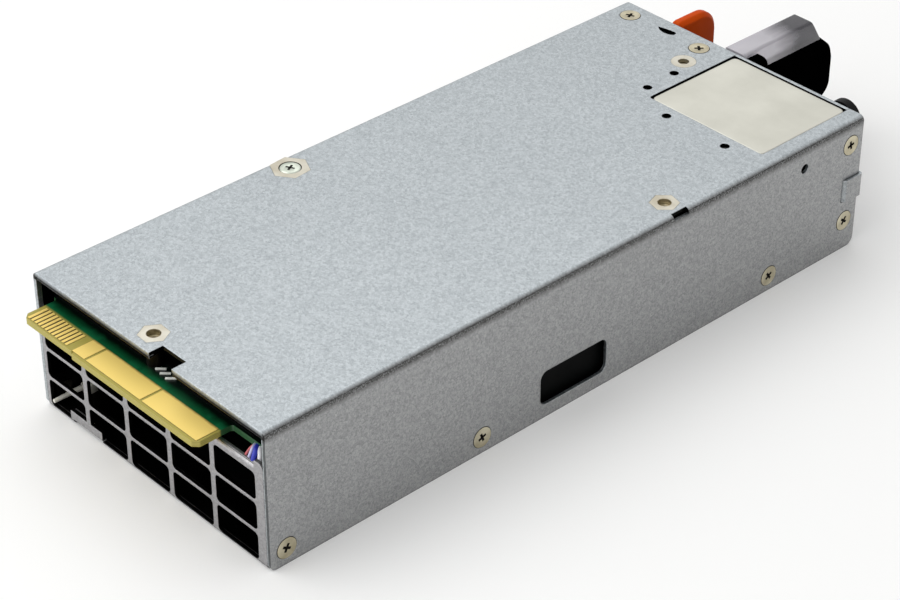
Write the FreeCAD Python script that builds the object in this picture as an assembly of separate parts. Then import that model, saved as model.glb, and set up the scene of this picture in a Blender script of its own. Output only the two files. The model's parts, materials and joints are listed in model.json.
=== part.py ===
"""Hot swap server power supply: a slide-in unit with a card-edge output at its front.

Frame: millimetres, +Z up, +Y from the card edge towards the handle, +X to the right when looking
along +Y. The origin is the centre of the flat underside of the case.
"""

import FreeCAD, Part
import math
import os

V = FreeCAD.Vector

# Case
CASE_WIDTH = 86.0
CASE_LENGTH = 200.0
CASE_HEIGHT = 39.0
SHEET = 1.0
BEND_RADIUS = 1.5
NEST_GAP = 0.1
CORNER_FRONT = 2.0
CORNER_REAR = 2.5

LEFT = -CASE_WIDTH / 2
RIGHT = CASE_WIDTH / 2
FRONT = -CASE_LENGTH / 2
REAR = CASE_LENGTH / 2
INNER_LEFT = LEFT + SHEET
INNER_RIGHT = RIGHT - SHEET
CEILING = CASE_HEIGHT - SHEET
PANEL_FRONT = REAR - SHEET

# Top plate openings, places from the left wall and the card end
NOTCH_FROM_LEFT = 45.0
NOTCH_WIDTH = 8.5
NOTCH_DEPTH = 4.1
CAN_CUTOUT_FROM_RIGHT = 5.0
CAN_CUTOUT_LENGTH = 34.0
CAN_CUTOUT_CORNER = 0.8
SMALL_HOLE_RADIUS = 1.25
SMALL_HOLES = ((37.3, 19.9), (37.8, 30.6), (51.4, 37.7), (71.8, 37.8))
CRESCENT_FROM_LEFT = 19.15
CRESCENT_FROM_REAR = 4.6
CRESCENT_LENGTH = 5.3
CRESCENT_WIDTH = 2.0
CRESCENT_RADIUS = 9.0
RELIEF_FROM_REAR = 71.3
RELIEF_LENGTH = 5.3
RELIEF_DEPTH = 1.3

# Side wall openings
WINDOW_FROM_FRONT = 84.0
WINDOW_LENGTH = 22.5
WINDOW_BOTTOM = 3.7
WINDOW_HEIGHT = 10.0
WINDOW_CORNER = 2.2
SPARE_HOLE_FROM_REAR = 22.6
SPARE_HOLE_HEIGHT = 32.3
SPARE_HOLE_RADIUS = 1.35

# Countersunk screws
SCREW_HEAD_RADIUS = 3.0
SCREW_SHANK_RADIUS = 1.4
SCREW_HOLE_GAP = 0.1
SCREW_LENGTH = 2.4
PAN_HEAD_HEIGHT = 1.4
FLANGE_SCREW_HEIGHT = 4.5
FLANGE_SCREWS_FROM_FRONT = (4.9, 64.9)
FLANGE_SCREW_FROM_REAR = 33.6
PANEL_SCREW_HEIGHTS = (8.8, CASE_HEIGHT - 7.1)
PANEL_SCREW_FROM_REAR = 4.4
TOP_SCREWS = ((6.8, 5.2), (32.4, 5.0))

# Height at which the circuit board hangs under the top plate
STANDOFF_RISE = 7.0
BOARD_THICKNESS = 1.6
BOARD_TOP = CEILING - STANDOFF_RISE
BOARD_BOTTOM = BOARD_TOP - BOARD_THICKNESS

# Base cover, its flanges and the punched grille
BASE_FLANGE_HEIGHT = 9.0
FLANGE_END_GAP = 0.5
WINDOW_MARGIN = 1.5
GRILLE_BOARD_GAP = 1.4
GRILLE_HEIGHT = BOARD_BOTTOM - GRILLE_BOARD_GAP
GRILLE_RETURN = 2.0
GRILLE_COLUMNS = 5
GRILLE_ROWS = 3
GRILLE_LEFT_BAR = 2.2
GRILLE_RIGHT_BAR = 4.0
GRILLE_BOTTOM_BAR = 1.2
GRILLE_TOP_BAR = 1.95
GRILLE_UPRIGHT = 1.6
GRILLE_CROSSBAR = 0.9
GRILLE_CORNER = 1.2
GRILLE_EAR_WIDTH = 3.2
GRILLE_EAR_RISE = 1.5
KEY_FROM_LEFT = 10.3
KEY_WIDTH = 12.6
KEY_HEIGHT = 1.5
KEY_TAB_HEIGHT = 3.8
KEY_POCKET_DEPTH = 4.6
KEY_POCKET_FLAT = 7.2

# Rear panel
PANEL_FLANGE_DEPTH = 9.0
TOP_FLANGE_DEPTH = 8.6
TOP_FLANGE_FROM_LEFT = 2.5
TOP_FLANGE_CAN_GAP = 2.0
SIDE_FLANGE_HEIGHT = 9.0
VENT_FROM_LEFT = 3.6
VENT_HANDLE_GAP = 1.4
VENT_BOTTOM = 3.6
VENT_TOP_BAR = 3.4
VENT_CELL = 4.0
VENT_WEB = 0.9
HOOK_TAB_BOTTOM = 15.2
HOOK_TAB_HEIGHT = 6.6
HOOK_TAB_THICKNESS = 0.8
HOOK_TAB_REACH = 6.5
HOOK_TIP_LENGTH = 0.7
HOOK_SLOT_LENGTH = 1.8

# Standoffs clinched into the top plate
STANDOFF_FRONT = (39.7, 5.5)
STANDOFF_RIGHT = (6.1, 68.5)
STANDOFF_LEFT = (5.2, 74.4)
STANDOFF_FLATS = 6.7
STANDOFF_LEFT_FLATS = 9.2
STANDOFF_BARREL = 2.2
STANDOFF_BORE = 1.25
STANDOFF_MOUTH = 1.8
STANDOFF_MOUTH_DEPTH = 1.5
CLINCH_GAP = 0.04
STANDOFF_SCREW_HEAD = 2.85
BOARD_SCREW_HEAD = 2.4
BOARD_SCREW_HEAD_HEIGHT = 1.4
BOARD_SCREW_REACH = 2.6
STANDOFF_SCREW_LENGTH = 2.4
INSERT_FROM_LEFT = 34.6
INSERT_FROM_REAR = 13.4
INSERT_RADIUS = 3.4
INSERT_BORE = 1.5
INSERT_LENGTH = 3.5

# Main board and its card edge
BOARD_SIDE_GAP = 0.8
BOARD_SETBACK = 3.6
BOARD_FAN_GAP = 3.0
TONGUE_FROM_LEFT = 3.7
TONGUE_WIDTH = 66.4
TONGUE_REACH = 6.9
SIGNAL_REACH = 6.3
SIGNAL_WIDTH = 19.3
KEY_CUT = 1.0
TONGUE_CHAMFER = 1.4
CONTACT_THICKNESS = 0.1
FINGER_COUNT = 12
FINGER_FIRST = 5.4
FINGER_PITCH = 1.336
FINGER_WIDTH = 0.85
FINGER_LENGTH = 5.4
PAD_LENGTH = 6.3
PAD_GAP = 0.75
PAD_WIDTHS = (4.6, 20.4, 19.8)
PAD_FIRST = 22.6
CONTACT_INSET = 0.55

# Filter can and mains inlet
CAN_GAP = 0.35
CAN_TOP_GAP = 0.3
CAN_RIM = 0.4
CAN_CORNER = 1.6
CAN_PANEL_GAP = 0.1
CAN_WALL = 0.6
INLET_OFFSET = 0.75
INLET_HEIGHT = 13.8
INLET_BODY_WIDTH = 27.0
INLET_BODY_HEIGHT = 19.6
INLET_BODY_DEPTH = 24.0
INLET_BEZEL_EDGE = 0.7
INLET_BEZEL_THICKNESS = 1.6
SOCKET_WIDTH = 24.0
SOCKET_HEIGHT = 16.4
SOCKET_CHAMFER = 5.0
SOCKET_DEPTH = 18.0
BLADE_WIDTH = 2.0
BLADE_HEIGHT = 4.0
BLADE_LENGTH = 15.0
BLADE_SPREAD = 7.0
BLADE_OFFSET = 2.0

# Fan
FAN_TOP_GAP = 1.0
FAN_SIZE = CASE_HEIGHT - 2 * SHEET - FAN_TOP_GAP
FAN_RIM = 1.0
FAN_CAN_GAP = 0.2
FAN_DEPTH = 28.0
FAN_FROM_LEFT = 5.8
FAN_FROM_REAR = 17.4
FAN_BORE = FAN_SIZE / 2 - FAN_RIM
FAN_HUB = 9.0
FAN_TIP_GAP = 0.5
FAN_FLANGE = 3.5
FAN_WALL = 0.6
FAN_SHAFT = 1.5
FAN_SHAFT_GAP = 0.04
FAN_HOLE_INSET = 2.5
FAN_SCREW_RADIUS = 1.5
FAN_SCREW_HEAD = 2.3
FAN_SCREW_LENGTH = 7.0
FAN_ROTOR_GAP = 0.6
FAN_MOTOR_DEPTH = 5.0
FAN_STRUTS = 4
FAN_STRUT_WIDTH = 2.0
FAN_BLADES = 7
FAN_BLADE_THICKNESS = 1.0
FAN_BLADE_CHORD = 16.0
FAN_LEADS = 3
FAN_LEAD_RADIUS = 0.55
FAN_LEAD_PITCH = 1.3
FAN_LEAD_INSET = 1.3
FAN_LEAD_BOARD_GAP = 1.2
FAN_PLUG_INSET = 1.0
FAN_PLUG_HALF = 2.4
BRACKET_TOP_GAP = 3.0
BRACKET_FOOT = 7.0
BRACKET_INSET = 6.0
BRACKET_THICKNESS = 1.0

# Release latch
PIVOT_FROM_LEFT = 4.2
PIVOT_FAN_GAP = 4.6
PIVOT_FROM_REAR = FAN_FROM_REAR + FAN_DEPTH + PIVOT_FAN_GAP
PIN_RADIUS = 1.0
PIN_GAP = 0.05
BARREL_RADIUS = 1.7
LEVER_THICKNESS = 0.8
LEVER_BOTTOM = 13.5
LEVER_BOARD_GAP = 4.9
LEVER_HEIGHT = BOARD_BOTTOM - LEVER_BOARD_GAP - LEVER_BOTTOM
LEVER_ARM_FROM_REAR = 6.0
LEVER_BEND = 1.6
TAB_FROM_LEFT = 17.0
TAB_THICKNESS = 4.0
TAB_START = 2.0
TAB_REACH = 17.4
TAB_BOTTOM = 5.5
TAB_TOP = CASE_HEIGHT - 0.8
TAB_EDGE = 1.1
TAB_HEEL = 1.6
TAB_CORNER = 6.5
TAB_SLOT_TRAVEL = 4.4
LEVER_SLOT_GAP = 0.7
HOOK_FROM_REAR = 12.2
HOOK_LENGTH = 7.6
HOOK_REACH = 1.6
HOOK_INSET = 1.6
HOOK_WINDOW_GAP = 1.2
EAR_THICKNESS = 1.0
EAR_GAP = 0.4
MOUNT_THICKNESS = 0.8
SPRING_WIRE = 0.35
SPRING_TURNS = 3
SPRING_PIN_GAP = 0.02
SPRING_LEG = 3.4

# Handle
HANDLE_INLET_GAP = 1.2
HANDLE_WIDTH = 7.0
HANDLE_TOP = CASE_HEIGHT - 1.0
HANDLE_BOTTOM = 1.0
HANDLE_REACH = 41.4
HANDLE_LIMB = 7.0
HANDLE_GRIP = 17.6
HANDLE_WEB = 10.0
HANDLE_LOW_LIMB = 4.0
HANDLE_EYE_CORNER = 4.5
HANDLE_EDGE = 1.5
GUIDE_REACH = 30.2
GUIDE_SLOPE = 4.4
FOOT_THICKNESS = 2.4
FOOT_WIDTH = 13.0
FOOT_OFFSET = 1.6
GUIDE_ROOT_RADIUS = 2.0
GUIDE_ROOT_DEPTH = 3.0
HANDLE_SCREW_HEAD = 2.6
HANDLE_SCREW_LENGTH = 5.9
SCREW_CAN_GAP = 0.4

# Strap post
POST_FROM_RIGHT = 10.5
POST_HEIGHT = 32.4
POST_HEAD_RADIUS = 4.75
POST_STEM_RADIUS = 3.2
POST_STEM_LENGTH = 3.6
POST_HEAD_LENGTH = 3.6
POST_EDGE = 1.1

# Liner, rod and front wires
LINER_THICKNESS = 0.4
LINER_FROM_FRONT = 12.0
LINER_FAN_GAP = 4.6
LINER_TOP_GAP = 2.9
ROD_FROM_LEFT = 3.3
ROD_RADIUS = 0.75
ROD_CENTRE_HEIGHT = 2.6
ROD_LENGTH = 15.0
ROD_START = 1.3
ROD_CLIP_LENGTH = 3.0
WIRE_RADIUS = 0.55
FRONT_WIRE_COUNT = 4
FRONT_WIRE_PITCH = 1.25
FRONT_WIRE_WALL_GAP = 2.0
WIRE_BOARD_INSET = 2.6
WIRE_RISE = 1.6
PLUG_LENGTH = 5.0
PLUG_HEIGHT = 5.6
PLUG_RIB = 0.8

# Power parts under the board
PART_GAP = 0.3
PART_CHAMFER = 0.6
BULK_RADIUS = 10.5
BULK_COUNT = 2
BULK_FROM_FRONT = 111.0
BULK_END_GAP = 7.6
BULK_SPACING = 1.5
BULK_GROOVE = 0.7
BULK_GROOVE_PLACE = 3.4
BULK_LEAD_RADIUS = 0.5
BULK_LEAD_SPREAD = 3.5
PFC_CHOKE_RADIUS = 11.0
PFC_CHOKE_HEIGHT = 13.0
PFC_CHOKE_WIRE = 4.4
PFC_CHOKE_WALL_GAP = 1.8
PFC_CHOKE_END_GAP = 21.6
BULK_CHOKE_GAP = 4.5
LINE_CHOKE_RADIUS = 5.6
LINE_CHOKE_HEIGHT = 9.0
LINE_CHOKE_WIRE = 2.6
LINE_CHOKE_FROM_RIGHT = 24.5
LINE_CHOKE_END_GAP = 4.5
BRIDGE_SIZE = (10.5, 4.5, 19.0)
BRIDGE_WALL_GAP = 0.9
BRIDGE_END_GAP = 10.1
BRIDGE_CORNER = 2.5
FUSE_PLACE = (9.0, 103.0)
FUSE_LENGTH = 20.0
FUSE_RADIUS = 2.6
FUSE_CAP_LENGTH = 5.0
RESONANT_SIZE = (13.0, 19.0, 18.0)
RESONANT_WALL_GAP = 1.9
RESONANT_FROM_FRONT = 60.0
CORE_SIZE = (30.0, 34.0, 22.0)
CORE_RESONANT_GAP = 5.5
CORE_FROM_FRONT = 53.0
CORE_LIMB = 8.0
CORE_TOP_GAP = 1.0
WINDING_PROUD = 0.6
CONTROL_CORE_GAP = 2.0
CONTROL_FROM_FRONT = 46.0
CONTROL_LENGTH = 40.0
CONTROL_HEIGHT = 22.0
CONTROL_THICKNESS = 1.2
CHIP_SIZE = 9.0
CHIP_THICKNESS = 1.4
CHIP_PLACES = (6.0, 24.0)
SINK_PLACE = (12.0, 58.0)
SINK_LENGTH = 40.0
SINK_FLOOR_GAP = 3.4
SINK_HEIGHT = BOARD_BOTTOM - SHEET - SINK_FLOOR_GAP
SINK_BACK = 3.0
SINK_FINS = 4
SINK_FIN_THICKNESS = 1.2
SINK_FIN_DEPTH = 9.0
TRANSISTOR_SIZE = (4.6, 10.0, 15.0)
TRANSISTOR_COUNT = 3
TRANSISTOR_LEAD_LENGTH = 4.0
TRANSISTOR_LEAD = 0.6
OUTPUT_CAP_RADIUS = 4.0
OUTPUT_CAP_LENGTH = 12.0
OUTPUT_CAP_FIRST = (8.0, 39.0)
OUTPUT_CAP_PITCH = 9.0
OUTPUT_CAP_COLUMNS = 3
OUTPUT_CAP_ROWS = 2
INDUCTOR_PLACE = (48.0, 44.0)
INDUCTOR_RADIUS = 8.4
INDUCTOR_HEIGHT = 11.0
INDUCTOR_WIRE = 4.0
RECTIFIER_PLACES = (12.0, 38.0)
RECTIFIER_LENGTH = 20.0
RECTIFIER_WIDTH = 14.0
RECTIFIER_FROM_FRONT = 14.0
RECTIFIER_HEIGHT = 17.0
RECTIFIER_THICKNESS = 2.0
BLOCK_SIZE = (11.5, 14.0, 20.0)
BLOCK_FROM_RIGHT = 5.0
BLOCK_FROM_FRONT = 12.0


# ---------------------------------------------------------------- helpers

def from_left(x):
    """Row X of a place given from the left wall's outer face."""
    return LEFT + x


def from_front(y):
    """Row Y of a place given from the case's front edge."""
    return FRONT + y


def from_rear(y):
    """Row Y of a place given from the case's rear edge."""
    return REAR - y


def from_right(x):
    """Row X of a place given from the right wall's outer face."""
    return RIGHT - x


def box(x0, x1, y0, y1, z0, z1):
    """Box between two corners."""
    return Part.makeBox(x1 - x0, y1 - y0, z1 - z0, V(x0, y0, z0))


def rod(start, end, radius):
    """Cylinder from start to end."""
    run = end.sub(start)
    return Part.makeCylinder(radius, run.Length, start, run)


def outline(points, radii):
    """Closed flat wire through the points, with each corner rounded by its own radius."""
    count = len(points)
    edges = []
    starts = []
    ends = []
    for index, point in enumerate(points):
        radius = radii[index]
        back = points[index - 1].sub(point).normalize()
        ahead = points[(index + 1) % count].sub(point).normalize()
        if radius <= 0:
            starts.append(point)
            ends.append(point)
            edges.append(None)
            continue
        half = back.getAngle(ahead) / 2
        reach = radius / math.tan(half)
        first = point.add(V(back).multiply(reach))
        last = point.add(V(ahead).multiply(reach))
        middle = back.add(ahead).normalize().multiply(radius / math.sin(half) - radius)
        starts.append(first)
        ends.append(last)
        edges.append(Part.Arc(first, point.add(middle), last).toShape())
    wire = []
    for index in range(count):
        if edges[index] is not None:
            wire.append(edges[index])
        start = ends[index]
        end = starts[(index + 1) % count]
        if start.distanceToPoint(end) > 1e-6:
            wire.append(Part.LineSegment(start, end).toShape())
    return Part.Wire(Part.__sortEdges__(wire))


def as_radii(radii, points):
    """One radius for each point."""
    if isinstance(radii, (int, float)):
        return [radii] * len(points)
    return list(radii)


def prism_x(points, radii, x0, x1):
    """Solid along X from a (y, z) outline."""
    wire = outline([V(x0, y, z) for y, z in points], as_radii(radii, points))
    return Part.Face(wire).extrude(V(x1 - x0, 0, 0))


def prism_y(points, radii, y0, y1):
    """Solid along Y from an (x, z) outline."""
    wire = outline([V(x, y0, z) for x, z in points], as_radii(radii, points))
    return Part.Face(wire).extrude(V(0, y1 - y0, 0))


def prism_z(points, radii, z0, z1):
    """Solid along Z from an (x, y) outline."""
    wire = outline([V(x, y, z0) for x, y in points], as_radii(radii, points))
    return Part.Face(wire).extrude(V(0, 0, z1 - z0))


def rectangle(a0, a1, b0, b1):
    """Four corners of a rectangle."""
    return [(a0, b0), (a1, b0), (a1, b1), (a0, b1)]


def hexagon(across_flats, centre, turn):
    """Six corners of a hexagon."""
    radius = across_flats / math.sqrt(3)
    corners = []
    for step in range(6):
        angle = math.radians(turn + 60 * step)
        corners.append((centre[0] + radius * math.cos(angle), centre[1] + radius * math.sin(angle)))
    return corners


def join(shapes):
    """One solid from touching shapes."""
    return shapes[0].multiFuse(shapes[1:]).removeSplitter()


def cut_all(shape, tools):
    """Shape without the tools."""
    return shape.cut(Part.makeCompound(tools))


def group(shapes):
    """Separate solids kept in one node."""
    return Part.makeCompound(shapes)


def save(shape, node):
    """Write one node's file."""
    shape.exportStep("parts/" + node + ".step")


def csk_cutter(mouth, inward):
    """Cone and hole for one countersunk screw that enters a sheet at its outer face."""
    grow = SCREW_HOLE_GAP
    start = mouth.sub(V(inward).multiply(grow))
    cone = Part.makeCone(SCREW_HEAD_RADIUS + 2 * grow, SCREW_SHANK_RADIUS + grow,
                         SHEET + grow, start, inward)
    hole = Part.makeCylinder(SCREW_SHANK_RADIUS + grow, 3 * SHEET, start, inward)
    return cone.fuse(hole)


def csk_screw(mouth, inward):
    """Countersunk screw with its head flush with the sheet's outer face."""
    cone = Part.makeCone(SCREW_HEAD_RADIUS, SCREW_SHANK_RADIUS, SHEET, mouth, inward)
    shank = Part.makeCylinder(SCREW_SHANK_RADIUS, SCREW_LENGTH, mouth, inward)
    return cone.fuse(shank).removeSplitter()


def wall_screw_places(side):
    """Mouth of each screw in one wall and its inward direction; side is -1 left, +1 right."""
    wall = side * CASE_WIDTH / 2
    inward = V(-side, 0, 0)
    rows = [from_front(y) for y in FLANGE_SCREWS_FROM_FRONT] + [from_rear(FLANGE_SCREW_FROM_REAR)]
    places = [V(wall, y, FLANGE_SCREW_HEIGHT) for y in rows]
    places += [V(wall, from_rear(PANEL_SCREW_FROM_REAR), z) for z in PANEL_SCREW_HEIGHTS]
    return [(place, inward) for place in places]


def top_screw_places():
    """Mouth of each screw in the top plate and its inward direction."""
    return [(V(from_left(x), from_rear(y), CASE_HEIGHT), V(0, 0, -1)) for x, y in TOP_SCREWS]


def standoff_places():
    """Each hex standoff: its centre, width across flats and turn of its first corner."""
    return [
        ((from_left(STANDOFF_FRONT[0]), from_front(STANDOFF_FRONT[1])), STANDOFF_FLATS, 57),
        ((from_right(STANDOFF_RIGHT[0]), from_rear(STANDOFF_RIGHT[1])), STANDOFF_FLATS, 47),
        ((from_left(STANDOFF_LEFT[0]), from_front(STANDOFF_LEFT[1])), STANDOFF_LEFT_FLATS, 35),
    ]


# ---------------------------------------------------------------- case sheets

def crescent_cutter():
    """Crescent slot: an arc that is round at its right end and thin at its left end."""
    centre = V(from_left(CRESCENT_FROM_LEFT), from_rear(CRESCENT_FROM_REAR) + CRESCENT_RADIUS, 0)
    half = CRESCENT_LENGTH / 2 / CRESCENT_RADIUS
    inner = CRESCENT_RADIUS - CRESCENT_WIDTH / 2
    outer = CRESCENT_RADIUS + CRESCENT_WIDTH / 2

    def at(radius, angle):
        return centre.add(V(radius * math.sin(angle), -radius * math.cos(angle), CEILING - 2 * SHEET))

    right_cap = at(CRESCENT_RADIUS, half + CRESCENT_WIDTH / 2 / CRESCENT_RADIUS)
    edges = [
        Part.Arc(at(CRESCENT_RADIUS, -half), at(outer, 0), at(outer, half)).toShape(),
        Part.Arc(at(outer, half), right_cap, at(inner, half)).toShape(),
        Part.Arc(at(inner, half), at(inner, 0), at(CRESCENT_RADIUS, -half)).toShape(),
    ]
    return Part.Face(Part.Wire(edges)).extrude(V(0, 0, 4 * SHEET))


def can_cutout(grow):
    """Outline of the top cut-out over the filter can, grown by a margin: x0, x1, y0."""
    left = from_left(FAN_FROM_LEFT) + FAN_SIZE + FAN_CAN_GAP - CAN_GAP
    return (left - grow, from_right(CAN_CUTOUT_FROM_RIGHT) + grow, from_rear(CAN_CUTOUT_LENGTH) - grow)


def window_outline(grow):
    """Side window as a (y, z) rectangle, grown by a margin."""
    y0 = from_front(WINDOW_FROM_FRONT)
    return rectangle(y0 - grow, y0 + WINDOW_LENGTH + grow,
                     WINDOW_BOTTOM - grow, WINDOW_BOTTOM + WINDOW_HEIGHT + grow)


def hook_window():
    """Left wall window for the latch hook as a (y, z) rectangle."""
    y1 = from_rear(HOOK_FROM_REAR) + HOOK_WINDOW_GAP
    y0 = y1 - HOOK_LENGTH - 2 * HOOK_WINDOW_GAP
    gap = HOOK_INSET - HOOK_WINDOW_GAP
    return rectangle(y0, y1, LEVER_BOTTOM + gap, LEVER_BOTTOM + LEVER_HEIGHT - gap)


def make_chassis():
    """Top plate and both walls, folded from one sheet."""
    shell = [(LEFT, 0), (LEFT, CASE_HEIGHT), (RIGHT, CASE_HEIGHT), (RIGHT, 0),
             (INNER_RIGHT, 0), (INNER_RIGHT, CEILING), (INNER_LEFT, CEILING), (INNER_LEFT, 0)]
    inner_bend = BEND_RADIUS - SHEET
    bends = [0, BEND_RADIUS, BEND_RADIUS, 0, 0, inner_bend, inner_bend, 0]
    folded = prism_y(shell, bends, FRONT, REAR)
    side = prism_x(rectangle(FRONT, REAR, 0, CASE_HEIGHT), [CORNER_FRONT, CORNER_REAR, 0, 0],
                   LEFT - 1, RIGHT + 1)
    folded = folded.common(side)
    low = CEILING - 1
    high = CASE_HEIGHT + 1
    notch_left = from_left(NOTCH_FROM_LEFT)
    tools = [box(notch_left, notch_left + NOTCH_WIDTH, FRONT - 1, FRONT + NOTCH_DEPTH, low, high)]
    for centre, flats, turn in standoff_places():
        tools.append(prism_z(hexagon(flats + 2 * CLINCH_GAP, centre, turn), 0, low, high))
    insert = V(from_left(INSERT_FROM_LEFT), from_rear(INSERT_FROM_REAR), low)
    tools.append(Part.makeCylinder(INSERT_RADIUS + CLINCH_GAP, high - low, insert))
    for x, y in SMALL_HOLES:
        tools.append(Part.makeCylinder(SMALL_HOLE_RADIUS, high - low, V(from_left(x), from_rear(y), low)))
    for mouth, inward in top_screw_places() + wall_screw_places(-1) + wall_screw_places(1):
        tools.append(csk_cutter(mouth, inward))
    tools.append(crescent_cutter())
    x0, x1, y0 = can_cutout(0)
    tools.append(prism_z(rectangle(x0, x1, y0, REAR + 2), [CAN_CUTOUT_CORNER, CAN_CUTOUT_CORNER, 0, 0],
                         low, high))
    relief = from_rear(RELIEF_FROM_REAR)
    tools.append(box(RIGHT - RELIEF_DEPTH, RIGHT + 1, relief, relief + RELIEF_LENGTH,
                     CASE_HEIGHT - BEND_RADIUS, high))
    tools.append(prism_x(window_outline(0), WINDOW_CORNER, INNER_RIGHT - 1, RIGHT + 1))
    tools.append(Part.makeCylinder(SPARE_HOLE_RADIUS, 3 * SHEET,
                                   V(INNER_RIGHT - 1, from_rear(SPARE_HOLE_FROM_REAR), SPARE_HOLE_HEIGHT),
                                   V(1, 0, 0)))
    slot_front = REAR + HOOK_TAB_THICKNESS - HOOK_TAB_REACH - HOOK_TIP_LENGTH - NEST_GAP
    tools.append(box(INNER_RIGHT - 1, RIGHT + 1, slot_front, slot_front + HOOK_SLOT_LENGTH,
                     HOOK_TAB_BOTTOM - NEST_GAP, HOOK_TAB_BOTTOM + HOOK_TAB_HEIGHT + NEST_GAP))
    tools.append(prism_x(hook_window(), 1.0, LEFT - 1, INNER_LEFT + 1))
    return cut_all(folded, tools)


def grille_windows():
    """Punched windows of the grille, in equal columns and rows between its edge bars."""
    left = from_left(GRILLE_LEFT_BAR)
    right = RIGHT - GRILLE_RIGHT_BAR
    bottom = GRILLE_BOTTOM_BAR
    top = GRILLE_HEIGHT - GRILLE_TOP_BAR
    width = (right - left - (GRILLE_COLUMNS - 1) * GRILLE_UPRIGHT) / GRILLE_COLUMNS
    height = (top - bottom - (GRILLE_ROWS - 1) * GRILLE_CROSSBAR) / GRILLE_ROWS
    cutters = []
    for column in range(GRILLE_COLUMNS):
        for row in range(GRILLE_ROWS):
            x0 = left + column * (width + GRILLE_UPRIGHT)
            z0 = bottom + row * (height + GRILLE_CROSSBAR)
            cutters.append(prism_y(rectangle(x0, x0 + width, z0, z0 + height), GRILLE_CORNER,
                                   FRONT - 1, FRONT + SHEET + 0.6))
    return cutters


def frustum(low, high, z0, z1):
    """Solid between two (x0, x1, y0, y1) rectangles at two heights."""
    wires = []
    for (x0, x1, y0, y1), z in ((low, z0), (high, z1)):
        wires.append(Part.makePolygon([V(x0, y0, z), V(x1, y0, z), V(x1, y1, z), V(x0, y1, z), V(x0, y0, z)]))
    return Part.makeLoft(wires, True, True)


def key_pocket(inset):
    """Bump of the key pocket's sheet: its outside with no inset, its inside with one sheet."""
    x0 = from_left(KEY_FROM_LEFT) + inset
    x1 = x0 - inset + KEY_WIDTH - inset
    front = FRONT - 2 * inset
    depth = FRONT + KEY_POCKET_DEPTH - inset
    flat = x0 + KEY_POCKET_FLAT - inset
    return frustum((x0, x1, front, depth), (x0 + 0.4, flat, front, depth - 1.5), SHEET - inset,
                   KEY_TAB_HEIGHT - inset)


def make_base_cover():
    """Bottom plate with low side flanges, turned up at the front as the punched grille."""
    left = INNER_LEFT + NEST_GAP
    right = INNER_RIGHT - NEST_GAP
    rear = PANEL_FRONT - NEST_GAP
    lip = FRONT + GRILLE_RETURN
    inner = GRILLE_HEIGHT - SHEET
    bent = [(rear, 0), (FRONT, 0), (FRONT, GRILLE_HEIGHT), (lip, GRILLE_HEIGHT), (lip, inner),
            (FRONT + SHEET, inner), (FRONT + SHEET, SHEET), (rear, SHEET)]
    cover = prism_x(bent, [0, BEND_RADIUS, SHEET, 0, 0, 0, BEND_RADIUS - SHEET, 0], left, right)
    flanges = []
    flange_end = REAR - PANEL_FLANGE_DEPTH - FLANGE_END_GAP
    for wall in (left, right - SHEET):
        flanges.append(box(wall, wall + SHEET, lip, flange_end, 0, BASE_FLANGE_HEIGHT))
    ear = prism_y(rectangle(right - GRILLE_EAR_WIDTH, right, GRILLE_HEIGHT - 1.5,
                            GRILLE_HEIGHT + GRILLE_EAR_RISE), [0, 0, 1.4, 0.4],
                  FRONT, FRONT + SHEET)
    cover = join([cover, ear] + flanges)
    key_left = from_left(KEY_FROM_LEFT)
    tab = box(key_left, key_left + KEY_WIDTH, FRONT, FRONT + SHEET, KEY_HEIGHT, KEY_TAB_HEIGHT)
    windows = [window.cut(tab) for window in grille_windows()]
    cover = cut_all(cover, windows)
    cover = cover.fuse(key_pocket(0)).cut(key_pocket(SHEET))
    cover = cover.fuse(tab)
    tools = [box(key_left + SHEET, key_left + KEY_WIDTH, FRONT - 1, FRONT + SHEET + 0.01, -1, KEY_HEIGHT)]
    tools.append(prism_x(window_outline(WINDOW_MARGIN), 1.0, right - 2 * SHEET, right + 1))
    for side in (-1, 1):
        for mouth, inward in wall_screw_places(side):
            tools.append(csk_cutter(mouth, inward))
            tools.append(Part.makeCylinder(SCREW_SHANK_RADIUS + SCREW_HOLE_GAP, SCREW_LENGTH, mouth, inward))
    return cut_all(cover, tools).removeSplitter()


def vent_cutters(blocked):
    """Hexagonal holes of the exhaust, without those that touch a blocked (x0, x1, z0, z1) area."""
    pitch = VENT_CELL + VENT_WEB
    rise = pitch * math.sqrt(3) / 2
    left = from_left(VENT_FROM_LEFT)
    half = VENT_CELL / math.sqrt(3)
    width = handle_foot()[0] - VENT_HANDLE_GAP - left
    height = CASE_HEIGHT - VENT_TOP_BAR - VENT_BOTTOM
    columns = int((width - VENT_CELL) / pitch) + 1
    rows = int((height - 2 * half) / rise) + 1
    cutters = []
    for row in range(rows):
        for column in range(columns - row % 2):
            x = left + VENT_CELL / 2 + column * pitch + (pitch / 2 if row % 2 else 0)
            z = VENT_BOTTOM + half + row * rise
            x0, x1, z0, z1 = blocked
            if x0 - half < x < x1 + half and z0 - half < z < z1 + half:
                continue
            cutters.append(prism_y(hexagon(VENT_CELL, (x, z), 30), 0, PANEL_FRONT - 1, REAR + 1))
    return cutters


def lever_slot():
    """Slot that the latch lever's tail passes and travels in: x0, x1, z0, z1."""
    x0 = from_left(TAB_FROM_LEFT) - LEVER_THICKNESS / 2 - LEVER_SLOT_GAP
    x1 = x0 + LEVER_THICKNESS + LEVER_SLOT_GAP + TAB_SLOT_TRAVEL
    return (x0, x1, LEVER_BOTTOM - LEVER_SLOT_GAP, LEVER_BOTTOM + LEVER_HEIGHT + LEVER_SLOT_GAP)


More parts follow.
